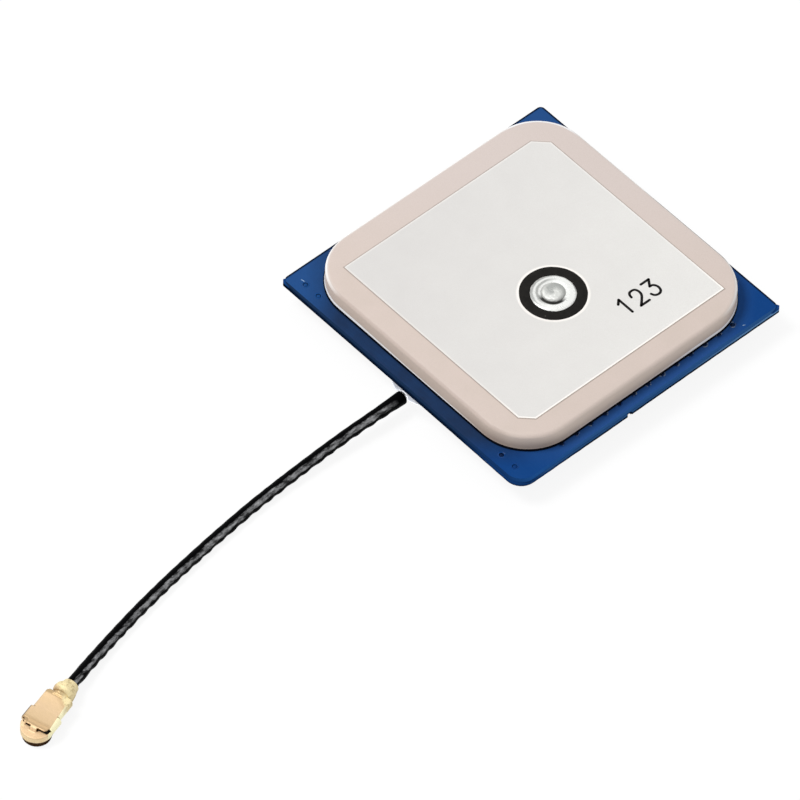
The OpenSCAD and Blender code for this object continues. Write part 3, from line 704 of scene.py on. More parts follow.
class ANTENNA_OT_stage(bpy.types.Operator):
    """Sets the camera, the floor, the soft lamp and the surround"""
    bl_idname = "antenna.stage"
    bl_label = "Stage"

    def execute(self, context):
        settings = context.scene.antenna_stage
        self.place_camera(context)
        self.light_surround(context, settings)
        self.lay_floor(settings)
        self.hang_key(settings)
        context.scene.view_settings.view_transform = "Standard"
        return {"FINISHED"}

    def place_camera(self, context):
        azimuth, elevation = CAMERA_AZIMUTH, CAMERA_ELEVATION
        level = Vector((math.cos(azimuth), math.sin(azimuth), 0))
        flat = math.cos(elevation)
        back = Vector((math.sin(azimuth) * flat, -math.cos(azimuth) * flat, math.sin(elevation)))
        above = back.cross(level)
        right = level * math.cos(CAMERA_ROLL) + above * math.sin(CAMERA_ROLL)
        up = back.cross(right)
        turn = Matrix((right, up, back)).transposed().to_4x4()
        data = bpy.data.cameras.new("camera")
        data.sensor_width = SENSOR_MM
        data.lens = FOCAL_PIXELS / PHOTO_PIXELS * SENSOR_MM
        data.clip_start = 0.05
        camera = linked_object("camera", data)
        camera.matrix_world = Matrix.Translation(CAMERA_TARGET + back * CAMERA_DISTANCE) @ turn
        context.scene.camera = camera

    def light_surround(self, context, settings):
        world = bpy.data.worlds.new("surround")
        wiring = emptied(world)
        lit, shown = (
            wiring.node("ShaderNodeBackground", {"Color": WHITE, "Strength": strength})[0]
            for strength in (settings.surround, 1.0)
        )
        wiring.node("ShaderNodeOutputWorld", {0: self.seen_or_not(wiring, lit, shown)})
        context.scene.world = world

    def seen_or_not(self, wiring, unseen, seen):
        """The second shader where a ray comes from the camera, a reflection or a transmission."""
        path = wiring.node("ShaderNodeLightPath")
        mirrored = path["Is Glossy Ray"].math("MAXIMUM", path["Is Transmission Ray"])
        mask = path["Is Camera Ray"].math("MAXIMUM", mirrored)
        return wiring.node("ShaderNodeMixShader", {0: mask, 1: unseen, 2: seen})[0]

    def lay_floor(self, settings):
        half = 2.0
        corners = [(-half, -half, 0), (half, -half, 0), (half, half, 0), (-half, half, 0)]
        mesh = bpy.data.meshes.new("floor")
        mesh.from_pydata(corners, [], [(0, 1, 2, 3)])
        material = bpy.data.materials.new("floor")
        wiring = emptied(material)
        unseen = wiring.node("ShaderNodeBsdfDiffuse", {"Color": settings.floor_colour})
        shadowed = wiring.node("ShaderNodeBsdfDiffuse", {"Color": (0.14, 0.14, 0.14, 1)})
        glow = wiring.node("ShaderNodeEmission", {"Color": WHITE, "Strength": 0.88})
        shown = wiring.node("ShaderNodeAddShader", {0: shadowed[0], 1: glow[0]})
        wiring.node("ShaderNodeOutputMaterial", {0: self.seen_or_not(wiring, unseen[0], shown[0])})
        mesh.materials.append(material)
        floor = linked_object("floor", mesh)

    def hang_key(self, settings):
        data = bpy.data.lights.new("key", "AREA")
        data.energy = settings.key_power
        data.size = settings.key_side
        lamp = linked_object("key", data)
        way = Vector((-0.36, -0.42, 1.0)).normalized()
        lamp.location = way * 0.5
        lamp.rotation_euler = way.to_track_quat("Z", "Y").to_euler()


class ANTENNA_OT_lead(bpy.types.Operator):
    """Sweeps the black jacket of the lead along its route"""
    bl_idname = "antenna.lead"
    bl_label = "Lead"

    # The side on which the jacket has its painted highlight band: up, and a little more to +X than to -X
    HIGHLIGHT_WAY = (0.616, 0.0, 0.788)
    # The marks are stretched along the lead
    STRETCH = (1.0, 0.32, 1.0)
    # The side on which the strands below show most: down, and seen from the front
    RIPPLED_WAY = (0.86, 0.0, -0.51)

    def execute(self, context):
        settings = context.scene.antenna_lead
        corners = [*LEAD_ROUTE, along_plug(LEAD_BEHIND_PLUG), along_plug(LEAD_IN_PLUG)]
        line = smooth_route([Vector(corner) * MM for corner in corners], 10)
        material = self.jacket(settings)
        mesh = run_tree(
            "lead_jacket", lead_tree, line_object("lead_line", [line]), material,
            {
                "Radius": settings.diameter / 2, "Sides": 40, "Step": 0.08 * MM,
                "Twist pitch": settings.pitch, "Ripple": settings.ripple, "Flare": settings.flare,
                "Flare length": 1.6 * MM, "Highlight way": self.HIGHLIGHT_WAY, "Rippled way": self.RIPPLED_WAY
            }
        )
        mesh.shade_smooth()
        mesh.set_sharp_from_angle(angle=math.radians(50))
        piece = new_piece("lead_jacket", mesh, material, ["coax_jacket"])
        length = sum((b - a).length for a, b in zip(line, line[1:]))
        line[0]
        return {"FINISHED"}

    def jacket(self, settings):
        finish = Finish("jacket", Specular_IOR_Level=0.02)
        wiring = finish.wiring
        woven = wiring.node("ShaderNodeAttribute", attribute_name="jacket_place")["Vector"]
        _, turns, facing = woven.axes()
        stretched = finish.place.vector("MULTIPLY", self.STRETCH)[0]
        scuff_and_sheen = wiring.noise(stretched, 3600.0, 5.0, Roughness=0.7)
        # The grey band on the upper side is a painted highlight, mottled by the stretched marks, and it
        # starts a little way from the board
        band = (facing + scuff_and_sheen.spread(0.3, 0.7, -0.05, 0.05)).spread(0.89, 0.975)
        share = band * scuff_and_sheen.spread(0.4, 0.68, 0.1, 1.0)
        highlit = (share * turns.spread(0.5, 1.6)).mix(settings.colour, settings.highlit)
        finish.set(Base_Color=highlit, Roughness=scuff_and_sheen.spread(0.3, 0.7, 0.25, 0.42))
        finish.bump(finish.mottle(0.05, 0.0, 0.5, 6.0) + scuff_and_sheen, 0.006)
        return finish.material


class ANTENNA_OT_ceramic(bpy.types.Operator):
    """Lofts the fired ceramic block with its round edges, and the glue that seats it"""
    bl_idname = "antenna.ceramic"
    bl_label = "Ceramic block"

    # Width and height of the pressing's flash at the foot, over the glue
    FLASH = (0.04, 0.24)
    # The fired block is a little narrower than true along Y, and its corners differ
    SHIFT = Vector((0.1, 0.05, 0))
    NARROWER = 0.05
    CORNERS = (4.8, 4.2, 4.25, 4.45)

    def execute(self, context):
        settings = context.scene.antenna_ceramic
        low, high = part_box("ceramic_substrate")
        middle = (low + high) / 2 + self.SHIFT * MM
        half = ((high.x - low.x) / 2, (high.y - low.y) / 2 - self.NARROWER * MM)
        foot, edge = settings.foot, settings.edge
        flash_out, flash_up = (length * MM for length in self.FLASH)
        levels = [
            (foot, low.z), (0.0, low.z + foot), (-flash_out, low.z + flash_up * 0.6),
            (0.0, low.z + flash_up), (0.0, high.z - edge)
        ]
        for k in range(1, 8):
            angle = k / 7 * math.pi / 2
            levels.append((edge - edge * math.cos(angle), high.z - edge + edge * math.sin(angle)))
        rings = [self.outline(middle, half, inset, z) for inset, z in levels]
        pin_low, pin_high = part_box("feed_pin")
        pin = (pin_low + pin_high) / 2
        top = rings[-1]
        hole = 0.6 * MM
        rings.append(circle_facing(top, pin, hole, high.z))
        rings.append(circle_facing(top, pin, hole, low.z))
        form = bmesh.new()
        loft(form, rings, closed=True)
        mesh = mesh_from("ceramic_block", form, 25)
        material = self.fired_ceramic(context, low, high)
        new_piece("ceramic_block", mesh, material, ["ceramic_substrate"])
        self.squeeze_glue(settings, middle, half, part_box("circuit_board")[1].z)
        return {"FINISHED"}

    def outline(self, middle, half, inset, z, side_steps=30):
        radii = [radius * MM - inset for radius in self.CORNERS]
        return rounded_outline(middle, [h - inset for h in half], radii, z, 20, side_steps)

    def squeeze_glue(self, settings, middle, half, board_top):
        line = self.outline(middle, half, 0.0, board_top + settings.bead * 0.55, 40)
        # The bead is nearly black, so that it also stands for the contact shadow at the ceramic's foot:
        # painted shade
        glue = plain_finish("glue", Specular_IOR_Level=0.02)
        closed = line_object("glue_line", [[*line, line[0]]])
        mesh = run_tree(
            "glue_bead", bead_tree, closed, glue,
            {"Radius": settings.bead, "Unevenness": settings.bead * 0.6, "Step": 0.15 * MM}
        )
        mesh.shade_smooth()
        new_piece("glue_bead", mesh, glue)

    def fired_ceramic(self, context, low, high):
        settings = context.scene.antenna_ceramic
        finish = Finish("fired_ceramic", Specular_IOR_Level=0.3, Coat_Roughness=0.3)
        silver = silver_inset(context, finish)
        clouded = finish.mottle(2.5).mix(settings.colour, settings.cloud)
        x, y, z = finish.place.axes()
        across = y - x
        toward_far = across.ramp(-2, 14).mix(clouded, settings.far_colour)
        grained = finish.mottle(0.1, 0.0, 0.22, 5.0).mix(toward_far, paint(196, 178, 168))
        specked = finish.specks(1.3, 0.05, 0.02).mix(grained, paint(150, 132, 120))
        on_top = z.math("GREATER_THAN", high.z - 0.01 * MM)
        # A painted shadow line on the ceramic just outside the silver's edge
        near_silver = on_top * silver.ramp(-0.12, -0.02)
        shaded = (near_silver * 0.85).mix(specked, paint(148, 134, 124))
        walled = self.wall(settings, high, shaded, x, y, z)
        edged = self.far_edge(high, walled, across, x, z)
        footed = self.foot_line(settings, low, edged, x, y, z)
        finish.set(
            Base_Color=footed, Roughness=finish.mottle(0.6, 0.45, 0.6),
            Coat_Weight=finish.mottle(1.2, 0.04, 0.12)
        )
        finish.bump(finish.mottle(0.12, 0.0, 1.0, 6.0), 0.006)
        return finish.material

    def wall(self, settings, high, colour, x, y, z):
        """The walls are warmer than the top and lighter, which is painted light; toward the foot painted
        shade darkens them, most at the near corner and on the +X side, and painted shade tones down the
        -Y top edge.
        """
        # Painted light: the walls take a lighter colour than the top
        wall = z.spread(high.z - 0.1 * MM, high.z - settings.edge - 0.1 * MM)
        walled = (wall * 0.8).mix(colour, settings.wall_colour)
        # Painted shade toward the foot, most at the near corner and on the +X side
        along = x + y
        at_corner = abs(along).ramp(9, 3, 0.0, 0.62)
        on_right = along.ramp(-1, 1, 0.08, 0.3)
        foot_shade = at_corner.math("MAXIMUM", on_right) * z.ramp(-0.3, -1.2, base=high.z)
        foot_shaded = foot_shade.mix(walled, paint(134, 116, 102))
        # Painted shade on the rounded -Y top edge
        on_left = along.ramp(0, -3) * y.ramp(-11.5, -11.9)
        edge = z.ramp(-0.002, -0.05, 0.0, 0.28, high.z)
        return (on_left * edge).mix(foot_shaded, paint(150, 128, 118))

    def far_edge(self, high, colour, across, x, z):
        """On the far sides the fired edge has painted highlights, and by the tip a thin brown line of
        painted shade.
        """
        away = across.ramp(-4, 0)
        rolled = z.ramp(-0.005, -0.03, base=high.z)
        below = z.ramp(-0.32, -0.24, base=high.z)
        lower = z.ramp(-0.05, -0.08, base=high.z) * below
        by_tip = x.ramp(-1, 1) * x.ramp(9, 8)
        # Painted highlight on the far rounding, whitest at the far corner
        at_far = across.ramp(20.4, 21.4)
        painted_light = at_far.mix(paint(224, 214, 208), paint(252, 252, 254))
        sooner = at_far * z.ramp(-0.001, -0.008, base=high.z)
        edged = rolled.math("MAXIMUM", sooner) * below
        highlit = (away * edged).mix(colour, painted_light)
        # Below the rounding a painted white line, which by the tip is a thin brown line of painted shade
        pale = by_tip.mix(paint(254, 252, 250), paint(96, 88, 82))
        return (away * lower).mix(highlit, pale)

    def foot_line(self, settings, low, colour, x, y, z):
        """The flash at the foot has a pale painted highlight: most by the side corners, not at the near
        one.
        """
        along = x + y
        reach = abs(along)
        by_side = reach.ramp(13, 18)
        between = reach.ramp(4, 8) * along.ramp(-1, 1, 0.9, 0.25)
        share = by_side.math("MAXIMUM", between)
        _, flash_up = self.FLASH
        top = by_side.spread(0.0, 1.0, low.z + flash_up * MM, low.z + (flash_up + 0.14) * MM)
        foot = z.spread(top, top - 0.05 * MM)
        # Painted highlight along the flash at the foot
        return (foot * share).mix(colour, settings.foot_colour)


def silver_inset(context, finish):
    """How far a place lies inside the silver face, as a signal of a finish's wiring."""
    settings = context.scene.antenna_silver
    low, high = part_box("patch_electrode")
    return finish.pattern(
        "face_inset", Middle=tuple((low + high) / 2), Half_X=(high.x - low.x) / 2,
        Half_Y=(high.y - low.y) / 2, Near_cut=settings.near_cut, Far_cut=settings.far_cut
    )


class ANTENNA_OT_silver(bpy.types.Operator):
    """Gives the silver face its fired paste, with a painted highlight along its rim"""
    bl_idname = "antenna.silver"
    bl_label = "Silver faces"

    def execute(self, context):
        settings = context.scene.antenna_silver
        finish = Finish("fired_silver", metallic=0.3)
        inset = silver_inset(context, finish)
        x, y, _ = finish.place.axes()
        across = (x + y).ramp(-18, 18)
        strayed = across + finish.mottle(3, -0.12, 0.12)
        body = strayed.mix(settings.colour, settings.pale_colour)
        grained = finish.mottle(0.08, 0.0, 0.35, 5.0).mix(body, paint(218, 214, 209))
        # A painted highlight along the silver's rim, strongest on the +X side
        rim = inset.spread(settings.rim, settings.rim * 0.6) * x.ramp(6, 10, 0.35, 1.0)
        ring_low, ring_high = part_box("resist_ring")
        from_ring = self.from_ring(x, y, (ring_low + ring_high) / 2)
        ring_reach = (ring_high.x - ring_low.x) / 2
        # A painted bright halo on the silver round the black ring
        halo = from_ring.spread(ring_reach + 0.25 * MM, ring_reach + 0.1 * MM)
        finish.set(
            Base_Color=rim.math("MAXIMUM", halo).mix(grained, settings.rim_highlight_colour),
            Roughness=finish.mottle(0.5, 0.45, 0.6)
        )
        finish.bump(finish.mottle(0.09, 0.0, 1.0, 6.0), 0.005)
        give_finish(finish.material, "patch_electrode")
        give_finish(plain_finish("under_silver"), "ground_electrode")
        give_finish(plain_finish("adhesive"), "adhesive_pad")
        return {"FINISHED"}

    def from_ring(self, x, y, middle):
        """Distance from the ring's middle, over the face."""
        across, along = x - middle.x, y - middle.y
        return (across * across + along * along).math("SQRT")


def lathe_form(profile, sides, middle, wobble=None):
    """A new bmesh, and the rings of points of a turned shape from (radius, height) pairs round a middle.

    wobble takes an angle, a radius and a height and gives the radius and height there.
    """
    form = bmesh.new()
    rings = []
    for radius, height in profile:
        ring = []
        for k in range(sides):
            angle = k / sides * 2 * math.pi
            r, z = wobble(angle, radius, height) if wobble else (radius, height)
            ring.append(Vector((middle.x + r * math.cos(angle), middle.y + r * math.sin(angle), z)))
        rings.append(ring)
    return form, rings


class ANTENNA_OT_resist(bpy.types.Operator):
    """Prints the black ring that holds the solder back"""
    bl_idname = "antenna.resist"
    bl_label = "Resist ring"

    def execute(self, context):
        settings = context.scene.antenna_feed
        low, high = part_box("resist_ring")
        middle = (low + high) / 2
        outer = (high.x - low.x) / 2
        inner = RING_INNER
        tall = high.z - low.z
        ease = 0.05 * MM
        profile = [
            (inner, low.z), (inner, low.z + tall * 0.5), (inner + ease * 0.4, low.z + tall * 0.85),
            (inner + ease, high.z), (outer - ease, high.z), (outer - ease * 0.4, low.z + tall * 0.85),
            (outer, low.z + tall * 0.5), (outer, low.z)
        ]

        def printed(angle, radius, height):
            stray = noise.noise(Vector((math.cos(angle) * 3, math.sin(angle) * 3, radius / MM)))
            inward = -abs(stray) * 0.035 * MM if radius > 2.2 * MM else abs(stray) * 0.04 * MM
            return radius + inward, height

        form, rings = lathe_form(profile, 128, middle, printed)
        loft(form, rings, closed=True)
        mesh = mesh_from("printed_ring", form, 50)
        ink = Finish("resist", Specular_IOR_Level=0.1)
        colour = settings.ring_colour
        dusty = ink.mottle(0.4, 0.0, 0.5).mix(colour, paint(38, 36, 34))
        smeared = ink.specks(0.5, 0.12, 0.06).mix(dusty, paint(110, 106, 102))
        ink.set(Base_Color=smeared, Roughness=ink.mottle(0.3, 0.4, 0.62))
        ink.bump(ink.mottle(0.1, 0.0, 1.0, 6.0), 0.01)
        new_piece("printed_ring", mesh, ink.material, ["resist_ring"])
        return {"FINISHED"}


class ANTENNA_OT_feed(bpy.types.Operator):
    """Turns the pin's hammered head and lets the solder flow round it"""
    bl_idname = "antenna.feed"
    bl_label = "Feed pin and solder"

    # How far out the bead of solder stands highest, as a share of its width
    CREST_SHARE = 0.42
    # The sides of its crest, of the crevice at its foot, and of its painted dark reflections
    CREST_WAY = math.radians(48)
    CREVICE_WAY = math.radians(-52)
    DARK_REFLECTION_WAY = math.radians(-150)

    def execute(self, context):
        settings = context.scene.antenna_feed
        low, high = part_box("feed_pin")
        middle = (low + high) / 2
        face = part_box("feed_solder")[0].z
        self.turn_pin(settings, middle, low.z, face, high.z)
        self.flow_solder(settings, middle, face)
        return {"FINISHED"}

    def polar(self, place, middle):
        """Distance from the pin's axis, in millimetres, and the angle round it in radians."""
        x, y, _ = place.axes()
        across, along = (x - middle.x) * (1 / MM), (y - middle.y) * (1 / MM)
        return (across * across + along * along).math("SQRT"), along.math("ARCTAN2", across)

    def turn_pin(self, settings, middle, end, face, crown):
        shank, head = 0.45 * MM, 0.95 * MM
        tall = crown - face
        profile = [(0.12 * MM, end), (shank - 0.1 * MM, end), (shank, end + 0.1 * MM), (shank, face)]
        profile += [(head * 0.98, face), (head, face + tall * 0.18)]
        for k in range(1, 9):
            angle = k / 9 * math.pi / 2
            height = tall * (0.18 + 0.82 * math.sin(angle) ** 0.7)
            profile.append((head * math.cos(angle) ** 0.5, face + height))
        profile.append((0.05 * MM, crown))

        def hammered(angle, radius, height):
            if height < face + tall * 0.1:
                return radius, height
            swirl = math.sin(angle * 2 + radius / MM * 5) * 0.012 * MM
            lean = math.cos(angle - self.CREST_WAY) * 0.03 * MM * radius / head
            return radius, min(crown, height + swirl * radius / head + lean - 0.03 * MM)

        form, rings = lathe_form(profile, 64, middle, hammered)
        made = loft(form, rings)
        form.faces.new(list(reversed(made[0])))
        form.faces.new(made[-1])
        mesh = mesh_from("hammered_pin", form, 50)
        pin = Finish("tinned_pin", metallic=0.6)
        radius, angle = self.polar(pin.place, middle)
        wander = pin.mottle(0.5, -0.6, 0.6)
        # The swirl's light and dark streaks are tool marks with painted reflections in them
        turn = radius * 4.2 + (angle + wander)
        swirl = turn.math("SINE").spread(-0.9, 0.9)
        turned = swirl.mix(settings.pin_colour, paint(218, 219, 215))
        # Painted shade round the rim of the head
        rim_shaded = (radius.spread(0.78, 0.94) * 0.4).mix(turned, paint(138, 138, 135))
        pin.set(Base_Color=rim_shaded, Roughness=pin.mottle(0.2, 0.32, 0.5))
        pin.bump(swirl + pin.mottle(0.14, 0.0, 1.0, 5.0), 0.026)
        new_piece("hammered_pin", mesh, pin.material, ["feed_pin"])

    def flow_solder(self, settings, middle, face):
        inner, outer = 0.88 * MM, RING_INNER
        tall = settings.puddle_height
        profile = [(inner, face)]
        for k in range(13):
            share = k / 12
            profile.append((inner + (outer - inner) * share, face + tall * self.bead(share)))
        profile.append((outer, face))

        def flowed(angle, radius, height):
            share = (radius - inner) / (outer - inner)
            crest = 0.72 + 0.28 * math.cos(angle - self.CREST_WAY)
            gap = math.exp(-((math.remainder(angle - self.CREVICE_WAY, 2 * math.pi) / 0.7) ** 2))
            sunk = 1 - 0.75 * gap * math.exp(-((share / 0.3) ** 2))
            ripple = 1 + 0.08 * noise.noise(Vector((math.cos(angle) * 2, math.sin(angle) * 2, share * 2)))
            return radius, face + min(1.0, crest * sunk * ripple) * (height - face)

        form, rings = lathe_form(profile, 96, middle, flowed)
        loft(form, rings, closed=True)
        mesh = mesh_from("flowed_solder", form, 60)
        new_piece("flowed_solder", mesh, self.set_solder(settings, middle), ["feed_solder"])

    def set_solder(self, settings, middle):
        """Solder with arcs of painted dark reflection, and painted shade in the crevice at the foot of
        the pin's head.
        """
        finish = Finish("set_solder", metallic=0.45)
        radius, angle = self.polar(finish.place, middle)
        wander = finish.mottle(0.6, -0.5, 0.5)
        # Painted dark reflections, in arcs on one side of the puddle
        toward = (angle - self.DARK_REFLECTION_WAY).math("COSINE")
        arcs = (radius * 16.0 + wander).math("SINE")
        dull_and_dark_reflection = toward.spread(0.0, 0.7) * arcs.spread(-0.6, 0.6, 0.15, 0.9)
        toned = dull_and_dark_reflection.mix(settings.solder_colour, settings.dark_reflection_colour)
        # Painted shade in the crevice at the foot of the head
        near_head = radius.spread(1.26, 1.16)
        crevice_side = (angle - self.CREVICE_WAY).math("COSINE")
        crevice = near_head * crevice_side.spread(0.3, 0.7)
        darkened = crevice.mix(toned, paint(40, 40, 38))
        finish.set(Base_Color=darkened, Roughness=finish.mottle(0.25, 0.22, 0.4))
        finish.bump(arcs + finish.mottle(0.3, 0.0, 0.6), 0.006)
        return finish.material

    def bead(self, share):
        """Height of the bead from the pin's head out to the ring, as a share of its crest."""
        if share > self.CREST_SHARE:
            return max(0.0, 1 - ((share - self.CREST_SHARE) / 0.58) ** 2) ** 0.6
        return 0.55 + 0.45 * math.sin(share / self.CREST_SHARE * math.pi / 2)


class ANTENNA_OT_board(bpy.types.Operator):
    """Gives the board its blue mask, its snapped sides and the copper round its filled vias"""
    bl_idname = "antenna.board"
    bl_label = "Circuit board"

    # The snapped web: levels as (share of its reach, height over the board's foot) in millimetres
    WEB_LEVELS = [(-0.25, 0.34), (1.0, 0.29), (1.0, 0.06), (0.4, 0.005), (-0.25, 0.005)]
    # At the two side corners its top leans up to the board's face: rise of the first two levels
    CORNER_RISE = [(-2.5, 0.45), (0.0, 0.45)]
    # How far along X plus Y the web reaches a share of its most, as (place, share)
    WEB_REACH = [(-27, 0.3), (-14, 0.15), (-4, 0.6), (0, 0.8), (8, 1.0), (20, 0.8), (27, 0.9)]
    WEB_CORNERS = (0.1, 0.4, 0.1, 1.35)
    NICK_Y = -2.14
    # Two painted glints by the side corners, drawn as short pale strokes
    GLINT_MARKS = [((-12.4, -12.4), (-12.1, -12.34)), ((13.07, 9.98), (13.14, 10.12))]

    def execute(self, context):
        settings = context.scene.antenna_board
        give_finish(self.mask_finish(settings), "circuit_board")
        low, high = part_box("circuit_board")
        self.snap_web(settings, low, high)
        places = self.via_places(settings, high)
        rim = self.via_finish("via_rim", (20, 60, 120), (112, 128, 150), 0.1)
        self.fill_vias(
            "via_rings", ring_tree, places, rim,
            {"Radius": settings.via_ring, "Width": 0.1 * MM, "Height": 0.02 * MM, "Sides": 20}
        )
        filling = self.via_finish("via_mask", (8, 22, 50), (14, 38, 76), 0.9)
        sunk = [(x, y, z - 0.05 * MM) for x, y, z in places]
        self.fill_vias("via_fillings", dome_tree, sunk, filling, {"Radius": 0.17 * MM, "Flatness": 0.33})
        self.glint_marks(high.z)
        give_finish(plain_finish("copper_land"), "board_lands")
        return {"FINISHED"}

    def fill_vias(self, name, build, places, material, values):
        mesh = run_tree(name, build, points_object("via_places", places), material, values)
        mesh.shade_smooth()
        new_piece(name, mesh, material)

    def snap_web(self, settings, low, high):
        """The thin web along the foot of the sides, where the board was snapped out of its panel."""
        middle = (low + high) / 2
        half = ((high.x - low.x) / 2, (high.y - low.y) / 2)
        radii = [radius * MM for radius in self.WEB_CORNERS]
        reach = [h + settings.web for h in half]
        grown = [radius + settings.web * 0.5 for radius in radii]
        flush = rounded_outline(middle, half, radii, 0.0, 8, 270)
        proud = rounded_outline(middle, reach, grown, 0.0, 8, 270)
        rings = []
        rises = self.CORNER_RISE + [(0.0, 0.0)] * len(self.WEB_LEVELS)
        for (share, height), (further, taller) in zip(self.WEB_LEVELS, rises):
            ring = []
            for inner, outer in zip(flush, proud):
                amount = self.web_share(inner) * share
                tip = Vector((half[0], half[1], 0)) * (1 if inner.x > 0 else -1)
                near_tip = max(0.0, 1 - (inner - tip).length / (0.9 * MM))
                amount += further * near_tip
                if inner.x > half[0] * 0.98 and abs(inner.y - self.NICK_Y * MM) < 0.15 * MM:
                    amount = min(share, 0.0) - 2.2
                up = low.z + (height + taller * near_tip) * MM
                ring.append(inner.lerp(outer, amount) + Vector((0, 0, up)))
            rings.append(ring)
        form = bmesh.new()
        loft(form, rings, closed=True)
        mesh = mesh_from("snapped_web", form, 40)
        finish = Finish("snapped_web", Specular_IOR_Level=0.0)
        x, y, z = finish.place.axes()
        along = x + y
        told = finish.mottle(0.6).mix(paint(6, 18, 38), paint(12, 30, 58))
        by_near = abs(along).ramp(7, 3) * z.ramp(0.08, 0.16, base=low.z)
        told = by_near.mix(told, paint(20, 58, 112))
        # A painted highlight along the web's top lip, toward +X
        lit = z.ramp(0.27, 0.3, base=low.z) * along.ramp(1, 3)
        lip = along.ramp(16, 23).mix(paint(62, 110, 166), paint(120, 170, 220))
        lipped = lit.mix(told, lip)
        masked = z.ramp(0.36, 0.42, base=low.z).mix(lipped, paint(26, 72, 136))
        finish.set(Base_Color=masked, Roughness=finish.mottle(0.5, 0.5, 0.8))
        finish.bump(finish.mottle(0.08, 0.0, 1.0, 5.0), 0.01)
        new_piece("snapped_web", mesh, finish.material)

    def web_share(self, point):
        """Share of its most by which the web stands out at a point of the board's outline."""
        if point.y > point.x + 1 * MM:
            return 0.2
        along = (point.x + point.y) / MM
        for (start, first), (end, last) in zip(self.WEB_REACH, self.WEB_REACH[1:]):
            if along <= end:
                share = first + (last - first) * (along - start) / (end - start)
                break
        return share + noise.noise(point / (0.7 * MM)) * 0.12

    def glint_marks(self, top):
        """Two small pale strokes on the mask by the side corners: painted glints."""
        lines = [[Vector((x * MM, y * MM, top + 0.004 * MM)) for x, y in ends] for ends in self.GLINT_MARKS]
        pale = plain_finish("glint_mask")
        values = {"Width": 0.07 * MM, "Thickness": 0.01 * MM, "Step": 0.05 * MM}
        mesh = run_tree("painted_glints", stroke_tree, line_object("glint_lines", lines), pale, values)
        new_piece("painted_glints", mesh, pale)

    def via_finish(self, name, first, second, at_near_corner):
        """Mask over a via: it shows on the +X side and by the near corner, and hardly elsewhere."""
        finish = Finish(name, Specular_IOR_Level=0.05)
        x, y, _ = finish.place.axes()
        patch = finish.mottle(0.3).spread(0.45, 0.65)
        told = patch.mix(paint(*first), paint(*second))
        faint = abs(x - 11.84 * MM)
        # The dark fill shows fully on the +X row, where it also stands for the ceramic's shadow: painted
        # shade
        plainly = y.ramp(-12.4, -12, at_near_corner, 1.0)
        shown = x.ramp(-8, 8, 0.08, plainly) * faint.ramp(0.3, 0.4, 0.2, 1.0)
        finish.set(
            Base_Color=shown.mix(x.ramp(-8, 8).mix(paint(26, 74, 134), paint(17, 64, 128)), told),
            Roughness=finish.mottle(0.2, 0.3, 0.45)
        )
        finish.bump(finish.mottle(0.05), 0.004)
        return finish.material

    def via_places(self, settings, high):
        line = high.x - settings.via_inset
        pitch, middle = settings.via_pitch, 0.55 * MM
        top = high.z + 0.005 * MM
        places = []
        for k in range(-6, 7):
            along = middle + k * pitch
            places += [(line, along, top), (-line, along, top), (along, line, top)]
        for k in (7, 8):
            places += [(k * pitch, -line, top), (-k * pitch, -line, top)]
        return places

    def mask_finish(self, settings):
        finish = Finish("board_mask", Specular_IOR_Level=0.0, Coat_Roughness=0.35)
        low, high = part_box("circuit_board")
        x, y, z = finish.place.axes()
        # Painted shade and light on the strips by the ceramic: darker on the -Y strip by the lead,
        # lighter on the +X strip
        toward_x = (x + y).ramp(-1.5, 1.5)
        strip = toward_x.mix(settings.strip_colour, settings.bright_colour)
        toward_far = x.ramp(6, -6)
        field = toward_far.mix(settings.mask_colour, settings.far_mask_colour)
        reach = abs(x) + abs(y)
        at_corner = reach.ramp(20.5, 24.5)
        toned = at_corner.mix(strip, field)
        clouded = finish.mottle(3, 0.0, 0.25).mix(toned, paint(34, 84, 146))
        weave = finish.streaks(1.2, 0.12)
        woven = weave.spread(0.5, 0.8, 0.0, 0.12).mix(clouded, paint(36, 86, 146))
        # Painted shade along the far top edges
        far = (x - low.x).math("MINIMUM", high.y - y)
        rimmed = far.ramp(0.2, 0.1).mix(woven, paint(6, 22, 48))
        on_side = z.math("LESS_THAN", high.z - 0.005 * MM)
        # The sides are lit copies of the mask, painted lighter on the +X side and by the near corner
        near = abs(x + y).ramp(7, 3)
        plain_side = toward_x.mix(paint(32, 56, 90), paint(51, 99, 160))
        near_side = toward_x.mix(paint(22, 62, 118), paint(34, 92, 166))
        side = (near * 0.8).mix(plain_side, near_side)
        sided = on_side.mix(rimmed, side)
        # The side darkens toward its foot: partly the bare cut, partly painted shade
        stray = finish.mottle(3, -0.04 * MM, 0.04 * MM, 2.0)
        reach_up = toward_x.spread(0.0, 1.0, low.z + 0.52 * MM, low.z + 0.4 * MM)
        lower = z.spread(stray + reach_up, low.z + 0.28 * MM)
        cut_and_shade_share = lower * near.spread(0.0, 1.0, 1.0, 0.2)
        cut = cut_and_shade_share.mix(sided, settings.cut_and_shade_colour)
        finish.set(
            Base_Color=cut, Roughness=finish.mottle(0.8, 0.3, 0.45), Coat_Weight=(1.0 - on_side) * 0.08
        )
        finish.bump(weave + finish.mottle(0.1), 0.005)
        return finish.material


